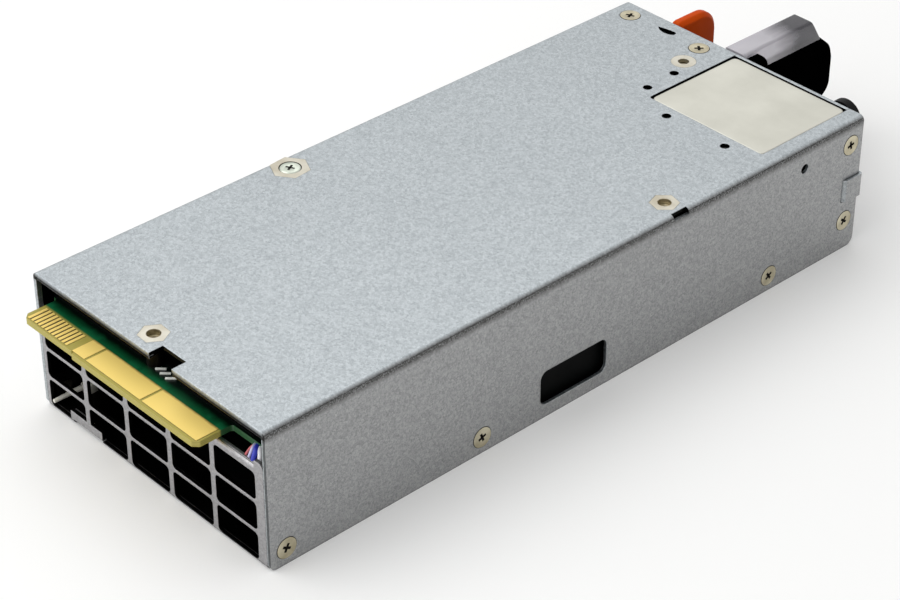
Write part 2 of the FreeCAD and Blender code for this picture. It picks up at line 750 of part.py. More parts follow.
def hook_tab():
    """Tongue of the rear panel that wraps the wall's rear edge and hooks into its slot."""
    t = HOOK_TAB_THICKNESS
    out = RIGHT + t
    rear = REAR + t
    tip = rear - HOOK_TAB_REACH
    wall = RIGHT + CLINCH_GAP
    over = REAR + CLINCH_GAP
    bite = RIGHT - 0.6 * SHEET
    path = [(INNER_RIGHT - 3, REAR), (INNER_RIGHT - 2, rear), (out, rear), (out, tip + 0.3),
            (bite, tip - HOOK_TIP_LENGTH), (bite, tip + 0.1), (wall, tip + 0.9), (wall, over),
            (INNER_RIGHT - 0.5, over), (INNER_RIGHT - 0.5, REAR - 0.4 * SHEET),
            (INNER_RIGHT - 3, REAR - 0.4 * SHEET)]
    return prism_z(path, [0, 0, 0.8, 0.3, 0, 0, 0, 0, 0, 0, 0], HOOK_TAB_BOTTOM,
                   HOOK_TAB_BOTTOM + HOOK_TAB_HEIGHT)


def make_rear_panel():
    """Rear panel with its flanges, exhaust holes, inlet opening and hook tab."""
    left = INNER_LEFT + NEST_GAP
    right = INNER_RIGHT - NEST_GAP
    plate = prism_y(rectangle(left, right, 0, CEILING - NEST_GAP), [0, 0, BEND_RADIUS, BEND_RADIUS],
                    PANEL_FRONT, REAR)
    can_left, can_right, _ = can_cutout(-NEST_GAP)
    lip = box(can_left, can_right, PANEL_FRONT, REAR, CEILING - 1, CASE_HEIGHT)
    flanges = []
    for z in PANEL_SCREW_HEIGHTS:
        z0 = z - SIDE_FLANGE_HEIGHT / 2 + (0.6 if z < CASE_HEIGHT / 2 else -0.4)
        for wall in (left, right - SHEET):
            ear = prism_x(rectangle(REAR - PANEL_FLANGE_DEPTH, REAR, z0, z0 + SIDE_FLANGE_HEIGHT),
                          [1.5, 0, 0, 1.5], wall, wall + SHEET)
            flanges.append(ear)
    top_left = from_left(TOP_FLANGE_FROM_LEFT)
    flanges.append(box(top_left, can_cutout(TOP_FLANGE_CAN_GAP)[0], REAR - TOP_FLANGE_DEPTH, REAR,
                       CEILING - NEST_GAP - SHEET, CEILING - NEST_GAP))
    panel = join([plate, lip] + flanges)
    x0, x1, z0, z1 = lever_slot()
    tools = vent_cutters((x0, x1, z0, z1))
    tools.append(prism_y(rectangle(x0, x1, z0, z1), 0.6, PANEL_FRONT - 1, REAR + 1))
    inlet = inlet_outline(NEST_GAP)
    tools.append(prism_y(inlet, 1.5, PANEL_FRONT - 1, REAR + 1))
    guide = guide_root_centre(PANEL_FRONT - 1)
    tools.append(Part.makeCylinder(GUIDE_ROOT_RADIUS + NEST_GAP, 3 * SHEET, guide, V(0, 1, 0)))
    for place in handle_screw_places():
        tools.append(Part.makeCylinder(SCREW_SHANK_RADIUS + SCREW_HOLE_GAP, 4 * SHEET,
                                       place.sub(V(0, 2, 0)), V(0, 1, 0)))
    tools.append(crescent_cutter())
    tools.append(Part.makeCylinder(POST_STEM_RADIUS - 1 + NEST_GAP, 4 * SHEET,
                                   V(from_right(POST_FROM_RIGHT), PANEL_FRONT - 1, POST_HEIGHT), V(0, 1, 0)))
    for mouth, inward in top_screw_places() + wall_screw_places(-1) + wall_screw_places(1):
        tools.append(Part.makeCylinder(SCREW_SHANK_RADIUS + SCREW_HOLE_GAP, SCREW_LENGTH + 1, mouth, inward))
    return cut_all(panel, tools).fuse(hook_tab()).removeSplitter()


def make_side_screws():
    """Countersunk screws of both walls."""
    return group([csk_screw(m, i) for m, i in wall_screw_places(-1) + wall_screw_places(1)])


def make_top_screws():
    """Countersunk screws of the top plate."""
    return group([csk_screw(m, i) for m, i in top_screw_places()])


# ---------------------------------------------------------------- standoffs and board

def make_hex_standoffs():
    """Hex standoffs: heads flush in the top plate, barrels down to the board."""
    pieces = []
    for centre, flats, turn in standoff_places():
        head = prism_z(hexagon(flats, centre, turn), 0, CEILING, CASE_HEIGHT)
        barrel = rod(V(centre[0], centre[1], BOARD_TOP), V(centre[0], centre[1], CASE_HEIGHT - SHEET / 2),
                     STANDOFF_BARREL)
        bore = rod(V(centre[0], centre[1], BOARD_TOP - 1), V(centre[0], centre[1], CASE_HEIGHT + 1),
                   STANDOFF_BORE)
        mouth = rod(V(centre[0], centre[1], CASE_HEIGHT - STANDOFF_MOUTH_DEPTH),
                    V(centre[0], centre[1], CASE_HEIGHT + 1), STANDOFF_MOUTH)
        if flats == STANDOFF_LEFT_FLATS:
            mouth = rod(V(centre[0], centre[1], CASE_HEIGHT - SHEET / 2),
                        V(centre[0], centre[1], CASE_HEIGHT + 1), STANDOFF_SCREW_HEAD + NEST_GAP)
        pieces.append(head.fuse(barrel).cut(bore.fuse(mouth)))
    return group(pieces)


def make_standoff_screw():
    """Screw seated in the left standoff's head."""
    centre = standoff_places()[2][0]
    seat = CASE_HEIGHT - SHEET / 2
    head = rod(V(centre[0], centre[1], seat), V(centre[0], centre[1], CASE_HEIGHT + 0.1), STANDOFF_SCREW_HEAD)
    shank = rod(V(centre[0], centre[1], seat - STANDOFF_SCREW_LENGTH), V(centre[0], centre[1], seat),
                STANDOFF_BORE - 0.02)
    return head.fuse(shank).removeSplitter()


def make_board_screws():
    """Pan-head screws that clamp the board to the standoffs from below."""
    pieces = []
    for centre, _, _ in standoff_places():
        low = BOARD_BOTTOM - BOARD_SCREW_HEAD_HEIGHT
        head = rod(V(centre[0], centre[1], low), V(centre[0], centre[1], BOARD_BOTTOM), BOARD_SCREW_HEAD)
        head = chamfer_low(head, BOARD_SCREW_HEAD_HEIGHT * 0.4)
        shank = rod(V(centre[0], centre[1], low + BOARD_SCREW_HEAD_HEIGHT / 2),
                    V(centre[0], centre[1], BOARD_TOP + BOARD_SCREW_REACH), STANDOFF_BORE - 0.02)
        pieces.append(head.fuse(shank).removeSplitter())
    return group(pieces)


def make_round_insert():
    """Round threaded insert, flush in the top plate."""
    x = from_left(INSERT_FROM_LEFT)
    y = from_rear(INSERT_FROM_REAR)
    head = rod(V(x, y, CASE_HEIGHT - INSERT_LENGTH), V(x, y, CASE_HEIGHT), INSERT_RADIUS)
    bore = rod(V(x, y, CEILING - INSERT_LENGTH), V(x, y, CASE_HEIGHT + 1), INSERT_BORE)
    return head.cut(bore)


def board_rear():
    """Row Y of the board's rear edge, in front of the fan."""
    return fan_front() - BOARD_FAN_GAP


def make_main_board():
    """Circuit board with a card-edge tongue that stands out of the case."""
    left = INNER_LEFT + BOARD_SIDE_GAP
    right = INNER_RIGHT - BOARD_SIDE_GAP
    shoulder = from_front(BOARD_SETBACK)
    rear = board_rear()
    tongue_left = from_left(TONGUE_FROM_LEFT)
    tongue_right = tongue_left + TONGUE_WIDTH
    key = tongue_left + SIGNAL_WIDTH + KEY_CUT / 2
    signal = FRONT - SIGNAL_REACH
    power = FRONT - TONGUE_REACH
    cut = KEY_CUT / 2
    points = [
        (left, shoulder), (tongue_left, shoulder),
        (tongue_left, signal + TONGUE_CHAMFER), (tongue_left + TONGUE_CHAMFER, signal),
        (key - cut, signal), (key, signal + KEY_CUT), (key + cut, power),
        (tongue_right - TONGUE_CHAMFER, power), (tongue_right, power + TONGUE_CHAMFER),
        (tongue_right, shoulder), (right, shoulder),
        (right, rear), (left, rear),
    ]
    radii = [0.8, 0.8, 0.6, 0.6, 0, 0, 0, 0.6, 0.6, 0.8, 0.8, 1.5, 1.5]
    board = prism_z(points, radii, BOARD_BOTTOM, BOARD_TOP)
    tools = []
    for centre, _, _ in standoff_places():
        tools.append(rod(V(centre[0], centre[1], BOARD_BOTTOM - 1), V(centre[0], centre[1], BOARD_TOP + 1),
                         STANDOFF_BORE + 0.1))
    return cut_all(board, tools)


def contact_pair(x0, x1, y0, y1):
    """One contact on each face of the board."""
    t = CONTACT_THICKNESS
    return [box(x0, x1, y0, y1, BOARD_TOP, BOARD_TOP + t),
            box(x0, x1, y0, y1, BOARD_BOTTOM - t, BOARD_BOTTOM)]


def make_signal_contacts():
    """Narrow contacts of the card edge."""
    pieces = []
    start = FRONT - SIGNAL_REACH + CONTACT_INSET
    for index in range(FINGER_COUNT):
        x = from_left(FINGER_FIRST + index * FINGER_PITCH)
        pieces += contact_pair(x - FINGER_WIDTH / 2, x + FINGER_WIDTH / 2, start, start + FINGER_LENGTH)
    return group(pieces)


def make_power_contacts():
    """Wide contacts of the card edge."""
    pieces = []
    x = from_left(PAD_FIRST + KEY_CUT / 2)
    start = FRONT - TONGUE_REACH + 1.6 * CONTACT_INSET
    for width in PAD_WIDTHS:
        pieces += contact_pair(x, x + width, start, start + PAD_LENGTH)
        x += width + PAD_GAP
    return group(pieces)


# ---------------------------------------------------------------- inlet and filter can

def inlet_middle():
    """Row X of the inlet's middle, beside the can's middle."""
    can_left, can_right, _ = can_cutout(0)
    return (can_left + can_right) / 2 + INLET_OFFSET


def inlet_outline(grow):
    """Outline of the inlet's body in the panel as (x, z) corners."""
    x = inlet_middle()
    half_width = INLET_BODY_WIDTH / 2 + grow
    half_height = INLET_BODY_HEIGHT / 2 + grow
    return rectangle(x - half_width, x + half_width, INLET_HEIGHT - half_height, INLET_HEIGHT + half_height)


def socket_outline():
    """Socket outline: a rectangle with its two lower corners cut off."""
    x = inlet_middle()
    w = SOCKET_WIDTH / 2
    h = SOCKET_HEIGHT / 2
    c = SOCKET_CHAMFER
    z = INLET_HEIGHT
    return [(x - w, z + h), (x + w, z + h), (x + w, z - h + c), (x + w - c, z - h),
            (x - w + c, z - h), (x - w, z - h + c)]


def make_ac_inlet():
    """Mains inlet: body through the panel, bezel outside it and an open socket."""
    mouth = REAR + INLET_BEZEL_THICKNESS
    body = prism_y(inlet_outline(0), 1.5, REAR - INLET_BODY_DEPTH, REAR + 0.5)
    bezel = prism_y(inlet_outline(INLET_BEZEL_EDGE), 2.0, REAR, mouth)
    socket = prism_y(socket_outline(), 1.0, mouth - SOCKET_DEPTH, mouth + 1)
    return body.fuse(bezel).cut(socket).removeSplitter()


def make_inlet_blades():
    """Three blades that stand on the socket's floor."""
    floor = REAR + INLET_BEZEL_THICKNESS - SOCKET_DEPTH
    x = inlet_middle()
    blades = []
    for dx, dz in ((-BLADE_SPREAD, -BLADE_OFFSET), (0, BLADE_OFFSET), (BLADE_SPREAD, -BLADE_OFFSET)):
        half = BLADE_WIDTH / 2
        tall = BLADE_HEIGHT / 2
        z = INLET_HEIGHT + dz
        blade = prism_x([(floor, z - tall), (floor + BLADE_LENGTH, z - tall),
                         (floor + BLADE_LENGTH, z + tall), (floor, z + tall)], [0, 0.8, 0.8, 0],
                        x + dx - half, x + dx + half)
        blades.append(blade)
    return group(blades)


def make_inlet_filter_can():
    """Drawn metal can of the line filter, open towards the rear panel round the inlet's body."""
    x0, x1, y0 = can_cutout(-CAN_GAP)
    y1 = PANEL_FRONT - CAN_PANEL_GAP
    top = CASE_HEIGHT - CAN_TOP_GAP
    can = prism_z(rectangle(x0, x1, y0, y1), CAN_CORNER, SHEET, top)
    rim = [edge for edge in can.Edges if abs(edge.BoundBox.ZMin - top) < 1e-6]
    can = can.makeFillet(CAN_RIM, rim)
    inside = prism_z(rectangle(x0 + CAN_WALL, x1 - CAN_WALL, y0 + CAN_WALL, REAR), CAN_CORNER - CAN_WALL,
                     SHEET + CAN_WALL, top - CAN_WALL)
    return can.cut(inside)


# ---------------------------------------------------------------- fan

def fan_centre(y):
    """Point on the fan's axis."""
    return V(from_left(FAN_FROM_LEFT) + FAN_SIZE / 2, y, SHEET + FAN_SIZE / 2)


def fan_front():
    """Row Y of the fan's inlet face."""
    return from_rear(FAN_FROM_REAR + FAN_DEPTH)


def fan_hole_places(y):
    """Centres of the fan's corner holes."""
    centre = fan_centre(y)
    half = FAN_SIZE / 2 - FAN_HOLE_INSET
    return [centre.add(V(dx, 0, dz)) for dx in (-half, half) for dz in (-half, half)]


def make_fan_frame():
    """Fan housing: two corner flanges, a round waist, struts and the motor's base."""
    front = fan_front()
    rear = front + FAN_DEPTH
    c = fan_centre(front)
    half = FAN_SIZE / 2
    square = rectangle(c.x - half, c.x + half, c.z - half, c.z + half)
    flanges = [prism_y(square, 2.5, front, front + FAN_FLANGE), prism_y(square, 2.5, rear - FAN_FLANGE, rear)]
    waist = Part.makeCylinder(FAN_BORE + FAN_WALL, FAN_DEPTH, c, V(0, 1, 0))
    frame = join([waist] + flanges)
    frame = frame.cut(Part.makeCylinder(FAN_BORE, FAN_DEPTH + 2, c.sub(V(0, 1, 0)), V(0, 1, 0)))
    base = Part.makeCylinder(FAN_HUB, FAN_STRUT_WIDTH, V(c.x, rear - FAN_STRUT_WIDTH, c.z), V(0, 1, 0))
    boss = Part.makeCylinder(FAN_SHAFT + 1.6, FAN_MOTOR_DEPTH, V(c.x, rear - FAN_MOTOR_DEPTH, c.z),
                             V(0, 1, 0))
    struts = []
    for index in range(FAN_STRUTS):
        strut = box(c.x + FAN_HUB - 1, c.x + FAN_BORE + 0.3, rear - FAN_STRUT_WIDTH, rear,
                    c.z - FAN_STRUT_WIDTH / 2, c.z + FAN_STRUT_WIDTH / 2)
        strut.rotate(c, V(0, 1, 0), 45 + index * 360 / FAN_STRUTS)
        struts.append(strut)
    frame = join([frame, base, boss] + struts)
    tools = [Part.makeCylinder(FAN_SHAFT + FAN_SHAFT_GAP, FAN_MOTOR_DEPTH + 1,
                               V(c.x, rear - FAN_MOTOR_DEPTH - 1, c.z), V(0, 1, 0))]
    for hole in fan_hole_places(front - 1):
        tools.append(Part.makeCylinder(FAN_SCREW_RADIUS + SCREW_HOLE_GAP, FAN_DEPTH + 2, hole, V(0, 1, 0)))
    return cut_all(frame, tools)


def fan_blade(c, start, length):
    """One twisted blade, lofted from the hub to the tip."""
    sections = []
    for radius, lean in ((FAN_HUB - 0.6, 38), ((FAN_HUB + FAN_BORE) / 2, 50), (FAN_BORE - FAN_TIP_GAP, 58)):
        t = FAN_BLADE_THICKNESS / 2
        chord = min(FAN_BLADE_CHORD, length / math.cos(math.radians(lean)) * 0.96) / 2
        along = V(0, math.cos(math.radians(lean)), math.sin(math.radians(lean)))
        across = V(0, -along.z, along.y)
        middle = c.add(V(radius, start + length / 2 - c.y, 0))
        corners = []
        for a, b in ((-chord, -t), (chord, -t), (chord, t), (-chord, t)):
            corners.append(middle.add(V(along).multiply(a)).add(V(across).multiply(b)))
        sections.append(Part.makePolygon(corners + [corners[0]]))
    return Part.makeLoft(sections, True, False)


def make_fan_rotor():
    """Impeller: a cup hub on its shaft with twisted blades."""
    front = fan_front()
    c = fan_centre(front)
    start = front + 1.0
    end = front + FAN_DEPTH - FAN_STRUT_WIDTH - FAN_ROTOR_GAP
    length = end - start
    hub = Part.makeCylinder(FAN_HUB, length, V(c.x, start, c.z), V(0, 1, 0))
    rim = [edge for edge in hub.Edges if edge.BoundBox.YMax < start + 1e-6]
    hub = hub.makeChamfer(1.2, rim)
    hollow = Part.makeCylinder(FAN_HUB - 1.2, length - 1.5, V(c.x, start + 1.5, c.z), V(0, 1, 0))
    hub = hub.cut(hollow)
    shaft = Part.makeCylinder(FAN_SHAFT, FAN_DEPTH - 2.0 - 0.5, V(c.x, start + 0.8, c.z), V(0, 1, 0))
    blades = []
    for index in range(FAN_BLADES):
        blade = fan_blade(c, start, length)
        blade.rotate(c, V(0, 1, 0), index * 360 / FAN_BLADES)
        blades.append(blade)
    envelope = Part.makeCylinder(FAN_BORE - FAN_TIP_GAP, length, V(c.x, start, c.z), V(0, 1, 0))
    core = Part.makeCylinder(FAN_HUB - 0.5, length + 2, V(c.x, start - 1, c.z), V(0, 1, 0))
    vanes = [blade.common(envelope).cut(core) for blade in blades]
    return join([hub, shaft] + vanes)


def make_fan_bracket():
    """Sheet bracket behind the fan, with a foot on the base and a round opening."""
    rear = fan_front() + FAN_DEPTH
    c = fan_centre(rear)
    half = FAN_SIZE / 2
    plate = prism_y(rectangle(c.x - half, c.x + half, SHEET, CEILING - BRACKET_TOP_GAP), [0, 0, 3.0, 3.0],
                    rear, rear + BRACKET_THICKNESS)
    foot = box(c.x - half + BRACKET_INSET, c.x + half - BRACKET_INSET, rear, rear + BRACKET_FOOT, SHEET,
               SHEET + BRACKET_THICKNESS)
    bracket = plate.fuse(foot)
    tools = [Part.makeCylinder(FAN_BORE, 4, V(c.x, rear - 1, c.z), V(0, 1, 0))]
    for hole in fan_hole_places(rear - 1):
        tools.append(Part.makeCylinder(FAN_SCREW_RADIUS + SCREW_HOLE_GAP, 4, hole, V(0, 1, 0)))
    return cut_all(bracket, tools).removeSplitter()


def make_fan_screws():
    """Two screws that hold the fan to its bracket by the lower corner holes."""
    rear = fan_front() + FAN_DEPTH + BRACKET_THICKNESS
    pieces = []
    for hole in fan_hole_places(rear):
        if hole.z > SHEET + FAN_SIZE / 2:
            continue
        head = Part.makeCylinder(FAN_SCREW_HEAD, PAN_HEAD_HEIGHT, hole, V(0, 1, 0))
        shank = rod(hole.sub(V(0, FAN_SCREW_LENGTH, 0)), hole.add(V(0, PAN_HEAD_HEIGHT / 2, 0)),
                    FAN_SCREW_RADIUS)
        pieces.append(head.fuse(shank).removeSplitter())
    return group(pieces)


def fan_lead_places(y):
    """Where the fan's leads leave its front flange, one above another."""
    c = fan_centre(y)
    x = c.x + FAN_SIZE / 2 - FAN_LEAD_INSET
    top = BOARD_BOTTOM - FAN_LEAD_BOARD_GAP
    return [V(x, y, top - index * FAN_LEAD_PITCH) for index in range(FAN_LEADS)]


def fan_plug_front():
    """Row Y of the fan plug's front face."""
    return board_rear() - FAN_PLUG_INSET - PLUG_LENGTH


def make_fan_leads():
    """Short leads from the fan's flange to the plug on the board."""
    pieces = []
    for end in fan_lead_places(fan_front()):
        pieces.append(rod(V(end.x, fan_plug_front() + PLUG_LENGTH, end.z), end, FAN_LEAD_RADIUS))
    return group(pieces)


def make_fan_plug():
    """Plug under the board that takes the fan's leads."""
    places = fan_lead_places(fan_front())
    y0 = fan_plug_front()
    return box(places[0].x - FAN_PLUG_HALF, places[0].x + FAN_PLUG_HALF, y0, y0 + PLUG_LENGTH,
               places[-1].z - FAN_LEAD_BOARD_GAP, BOARD_BOTTOM)


# ---------------------------------------------------------------- latch

def pivot(z):
    """Point on the latch's pivot axis."""
    return V(from_left(PIVOT_FROM_LEFT), from_rear(PIVOT_FROM_REAR), z)


def make_latch_lever():
    """Spring-steel lever: pivot barrel, strip along the wall, hook, and tail through the panel."""
    low = LEVER_BOTTOM
    high = LEVER_BOTTOM + LEVER_HEIGHT
    p = pivot(low)
    t = LEVER_THICKNESS
    barrel = Part.makeCylinder(BARREL_RADIUS, LEVER_HEIGHT, p)
    outer = p.x - BARREL_RADIUS
    arm = from_rear(LEVER_ARM_FROM_REAR)
    tail = from_left(TAB_FROM_LEFT)
    end = REAR + TAB_START + 0.6 * TAB_REACH
    path = [(outer, p.y), (outer, arm), (tail - t / 2, arm), (tail - t / 2, end),
            (tail + t / 2, end), (tail + t / 2, arm - t), (outer + t, arm - t), (outer + t, p.y)]
    bend = LEVER_BEND
    strip = prism_z(path, [0, bend, bend - t, 0.3, 0.3, bend, bend - t, 0], low, high)
    hook_rear = from_rear(HOOK_FROM_REAR)
    tip = LEFT - HOOK_REACH
    start = hook_rear - HOOK_LENGTH
    wedge = prism_z([(outer + t, start), (outer, start), (tip, hook_rear - 1.2), (tip, hook_rear),
                     (outer + t, hook_rear)], [0, 0, 0.3, 0.3, 0], low + HOOK_INSET, high - HOOK_INSET)
    hollow = prism_z([(outer + t + 1, start + 1.9), (outer - 0.1, start + 2.1),
                      (tip + t + 0.2, hook_rear - 1.5), (tip + t + 0.2, hook_rear - t),
                      (outer + t + 1, hook_rear - t)],
                     0, low + HOOK_INSET - 1, high - HOOK_INSET + 1)
    window = box(outer - 1, outer + t + 1, start + 1.9, hook_rear - t,
                 low + HOOK_INSET, high - HOOK_INSET)
    lever = join([barrel, strip.cut(window), wedge.cut(hollow)])
    bore = Part.makeCylinder(PIN_RADIUS + PIN_GAP, LEVER_HEIGHT + 2, pivot(low - 1))
    spring_gap = box(p.x - BARREL_RADIUS - 1, p.x + BARREL_RADIUS + 1, p.y - BARREL_RADIUS - 1,
                     p.y + BARREL_RADIUS + 1.2, spring_bottom() - EAR_GAP, spring_top() + EAR_GAP)
    return lever.cut(bore).cut(spring_gap)


def make_latch_tab():
    """Orange thumb tab moulded over the lever's tail."""
    x = from_left(TAB_FROM_LEFT)
    y0 = REAR + TAB_START
    y1 = REAR + TAB_REACH
    half = TAB_THICKNESS / 2
    tab = prism_x(rectangle(y0, y1, TAB_BOTTOM, TAB_TOP), [TAB_HEEL, TAB_CORNER, TAB_CORNER, TAB_HEEL],
                  x - half, x + half)
    rims = [edge for edge in tab.Edges if edge.BoundBox.XLength < 1e-6]
    tab = tab.makeChamfer(TAB_EDGE, rims)
    t = LEVER_THICKNESS / 2
    end = REAR + TAB_START + 0.6 * TAB_REACH
    pocket = box(x - t, x + t, y0 - 1, end, LEVER_BOTTOM, LEVER_BOTTOM + LEVER_HEIGHT)
    return tab.cut(pocket)


def spring_bottom():
    """Lower end of the torsion spring's coil."""
    return LEVER_BOTTOM + LEVER_HEIGHT / 2 - SPRING_TURNS * SPRING_WIRE * 1.15


def spring_top():
    """Upper end of the torsion spring's coil."""
    return LEVER_BOTTOM + LEVER_HEIGHT / 2 + SPRING_TURNS * SPRING_WIRE * 1.15


def make_latch_mount():
    """Bracket on the left wall: a back plate and two ears round the lever's barrel."""
    p = pivot(0)
    low = LEVER_BOTTOM - EAR_GAP
    high = LEVER_BOTTOM + LEVER_HEIGHT + EAR_GAP
    reach = BARREL_RADIUS + 1.3
    back = box(INNER_LEFT, INNER_LEFT + MOUNT_THICKNESS, p.y - reach - 2, p.y + reach,
               low - EAR_THICKNESS - 2, high + EAR_THICKNESS + 1)
    ears = []
    for z in (low - EAR_THICKNESS, high):
        ears.append(prism_z(rectangle(INNER_LEFT, p.x + reach - 0.4, p.y - reach, p.y + reach),
                            [0, 1.6, 1.6, 0], z, z + EAR_THICKNESS))
    bore = Part.makeCylinder(PIN_RADIUS, CASE_HEIGHT, p)
    return join([back] + ears).cut(bore)


def make_latch_pin():
    """Pin through both ears and the lever's barrel."""
    low = LEVER_BOTTOM - EAR_GAP - EAR_THICKNESS
    high = LEVER_BOTTOM + LEVER_HEIGHT + EAR_GAP + EAR_THICKNESS
    shaft = rod(pivot(low), pivot(high + 0.4), PIN_RADIUS)
    head = rod(pivot(low - 0.8), pivot(low), PIN_RADIUS + 0.7)
    return shaft.fuse(head).removeSplitter()


def make_latch_spring():
    """Torsion spring on the pin, one leg on the bracket's back plate and one along the lever."""
    inner = PIN_RADIUS + SPRING_PIN_GAP
    outer = inner + 2 * SPRING_WIRE
    low = spring_bottom()
    pitch = (spring_top() - low) / SPRING_TURNS
    groove = outer - 0.25 * SPRING_WIRE
    corners = [(inner, low), (groove, low)]
    for turn in range(SPRING_TURNS):
        start = low + turn * pitch
        corners += [(outer, start + 0.3 * pitch), (outer, start + 0.7 * pitch), (groove, start + pitch)]
    corners.append((inner, spring_top()))
    axis = pivot(0)
    wire = Part.makePolygon([axis.add(V(r, 0, z)) for r, z in corners + corners[:1]])
    coil = Part.Face(wire).revolve(axis, V(0, 0, 1), 360)
    middle = pivot((low + spring_top()) / 2)
    ring = inner + 1.1 * SPRING_WIRE
    leg_back = rod(middle.add(V(-0.3, -ring, 0)), V(INNER_LEFT + MOUNT_THICKNESS, middle.y - ring, middle.z),
                   SPRING_WIRE)
    leg_lever = rod(middle.add(V(ring, -0.3, 0)), middle.add(V(ring, SPRING_LEG, 0)), SPRING_WIRE)
    return join([coil, leg_back, leg_lever])


# ---------------------------------------------------------------- handle

def handle_foot():
    """Left and right edges of the handle's foot, beside the inlet's bezel and clear of the filter can."""
    beside_inlet = inlet_middle() - INLET_BODY_WIDTH / 2 - INLET_BEZEL_EDGE - HANDLE_INLET_GAP
    screw_right = can_cutout(0)[0] + CAN_GAP - SCREW_CAN_GAP
    beside_can = screw_right - HANDLE_SCREW_HEAD - HANDLE_WIDTH / 2 - FOOT_OFFSET + FOOT_WIDTH
    right = min(beside_inlet, beside_can)
    return right - FOOT_WIDTH, right


def handle_side(grow):
    """Left and right faces of the handle."""
    left = handle_foot()[0] + FOOT_OFFSET
    return left - grow, left + HANDLE_WIDTH + grow


def handle_centre():
    """Row X of the handle's middle plane."""
    left, right = handle_side(0)
    return (left + right) / 2


def handle_middle():
    """Height of the handle's middle."""
    return (HANDLE_TOP + HANDLE_BOTTOM) / 2


def guide_root_centre(y):
    """Point on the light guide's root axis."""
    return V(handle_centre(), y, HANDLE_TOP - HANDLE_LIMB / 2 - 0.4)


def handle_screw_places():
    """Where the handle's screws pass the rear panel's inner face."""
    x = handle_centre()
    seat = HANDLE_TOP - HANDLE_LIMB
    return [V(x, PANEL_FRONT, HANDLE_BOTTOM + HANDLE_LOW_LIMB - 0.4),
            V(x, PANEL_FRONT, seat - HANDLE_WEB / 2)]


def loop_profile():
    """Outline of the black grip plate under the light guide, as (y, z) corners with their radii."""
    grip_end = REAR + HANDLE_REACH
    slope_end = REAR + GUIDE_REACH + GUIDE_SLOPE
    seat = HANDLE_TOP - HANDLE_LIMB
    middle = handle_middle()
    flat = (HANDLE_TOP - HANDLE_BOTTOM) * 0.17
    corners = [
        (REAR, HANDLE_BOTTOM, 0), (REAR + GUIDE_REACH, HANDLE_BOTTOM, 3.0),
        (slope_end, HANDLE_BOTTOM + HANDLE_LIMB, 6.0), (grip_end, middle - flat, 6.0),
        (grip_end, middle + flat, 6.0), (slope_end + 0.8, seat, 0), (REAR, seat, 0),
    ]
    return [(y, z) for y, z, _ in corners], [radius for _, _, radius in corners]


def handle_eye():
    """Finger hole of the handle as a (y, z) rectangle."""
    return rectangle(REAR + FOOT_THICKNESS + 0.6, REAR + HANDLE_REACH - HANDLE_GRIP,
                     HANDLE_BOTTOM + HANDLE_LOW_LIMB, HANDLE_TOP - HANDLE_LIMB - HANDLE_WEB)


def make_handle():
    """Black handle: foot on the rear panel, grip plate with its finger hole, and the light guide's seat."""
    x0, x1 = handle_side(0)
    points, radii = loop_profile()
    plate = prism_x(points, radii, x0, x1)
    plate = plate.cut(prism_x(handle_eye(), HANDLE_EYE_CORNER, x0 - 1, x1 + 1))
    soft = [edge for edge in plate.Edges
            if edge.BoundBox.XLength < 1e-6 and edge.BoundBox.YMax > REAR + 0.1
            and edge.BoundBox.ZMin < HANDLE_TOP - HANDLE_LIMB - 0.1]
    plate = plate.makeChamfer(HANDLE_EDGE, soft)
    foot_left, foot_right = handle_foot()
    foot = prism_y(rectangle(foot_left, foot_right, HANDLE_BOTTOM, HANDLE_TOP - 1.0),
                   [2.0, 2.0, 3.0, 3.0], REAR, REAR + FOOT_THICKNESS)
    blob = prism_y(rectangle(x1 + 0.1, foot_right - 0.2, HANDLE_TOP - 11.0, HANDLE_TOP - 1.2),
                   [0.3, 2.0, 2.0, 0.3], REAR, REAR + 7.4)
    handle = join([plate, foot, blob])
    root = guide_root_centre(REAR - 1)
    tools = [Part.makeCylinder(GUIDE_ROOT_RADIUS + NEST_GAP, FOOT_THICKNESS + 2, root, V(0, 1, 0))]
    for place in handle_screw_places():
        tools.append(Part.makeCylinder(SCREW_SHANK_RADIUS, HANDLE_SCREW_LENGTH + NEST_GAP, place, V(0, 1, 0)))
    return cut_all(handle, tools).removeSplitter()


def guide_profile():
    """Outline of the light guide's bar as (y, z) corners."""
    low = HANDLE_TOP - HANDLE_LIMB
    return [(REAR + FOOT_THICKNESS, low), (REAR + GUIDE_REACH + GUIDE_SLOPE, low),
            (REAR + GUIDE_REACH + 1.2, HANDLE_TOP - 1.8), (REAR + GUIDE_REACH, HANDLE_TOP),
            (REAR + FOOT_THICKNESS, HANDLE_TOP)]


def make_handle_light_guide():
    """Smoky clear bar: the handle's upper limb, with a round root through the rear panel."""
    x0, x1 = handle_side(-0.02)
    bar = prism_x(guide_profile(), 0, x0, x1)
    top = [edge for edge in bar.Edges if edge.BoundBox.YLength > 20 and edge.BoundBox.ZMin > HANDLE_TOP - 0.1]
    bar = bar.makeFillet(0.9, top)
    root = Part.makeCylinder(GUIDE_ROOT_RADIUS, GUIDE_ROOT_DEPTH + FOOT_THICKNESS + 0.5,
                             guide_root_centre(REAR - GUIDE_ROOT_DEPTH), V(0, 1, 0))
    return bar.fuse(root).removeSplitter()


def make_status_light():
    """Light source seated behind the light guide's root."""
    rear = REAR - GUIDE_ROOT_DEPTH
    body = Part.makeCylinder(1.5, 3.0, guide_root_centre(rear - 3.2), V(0, 1, 0))
    flange = Part.makeCylinder(1.9, 0.8, guide_root_centre(rear - 4.0), V(0, 1, 0))
    return body.fuse(flange).removeSplitter()


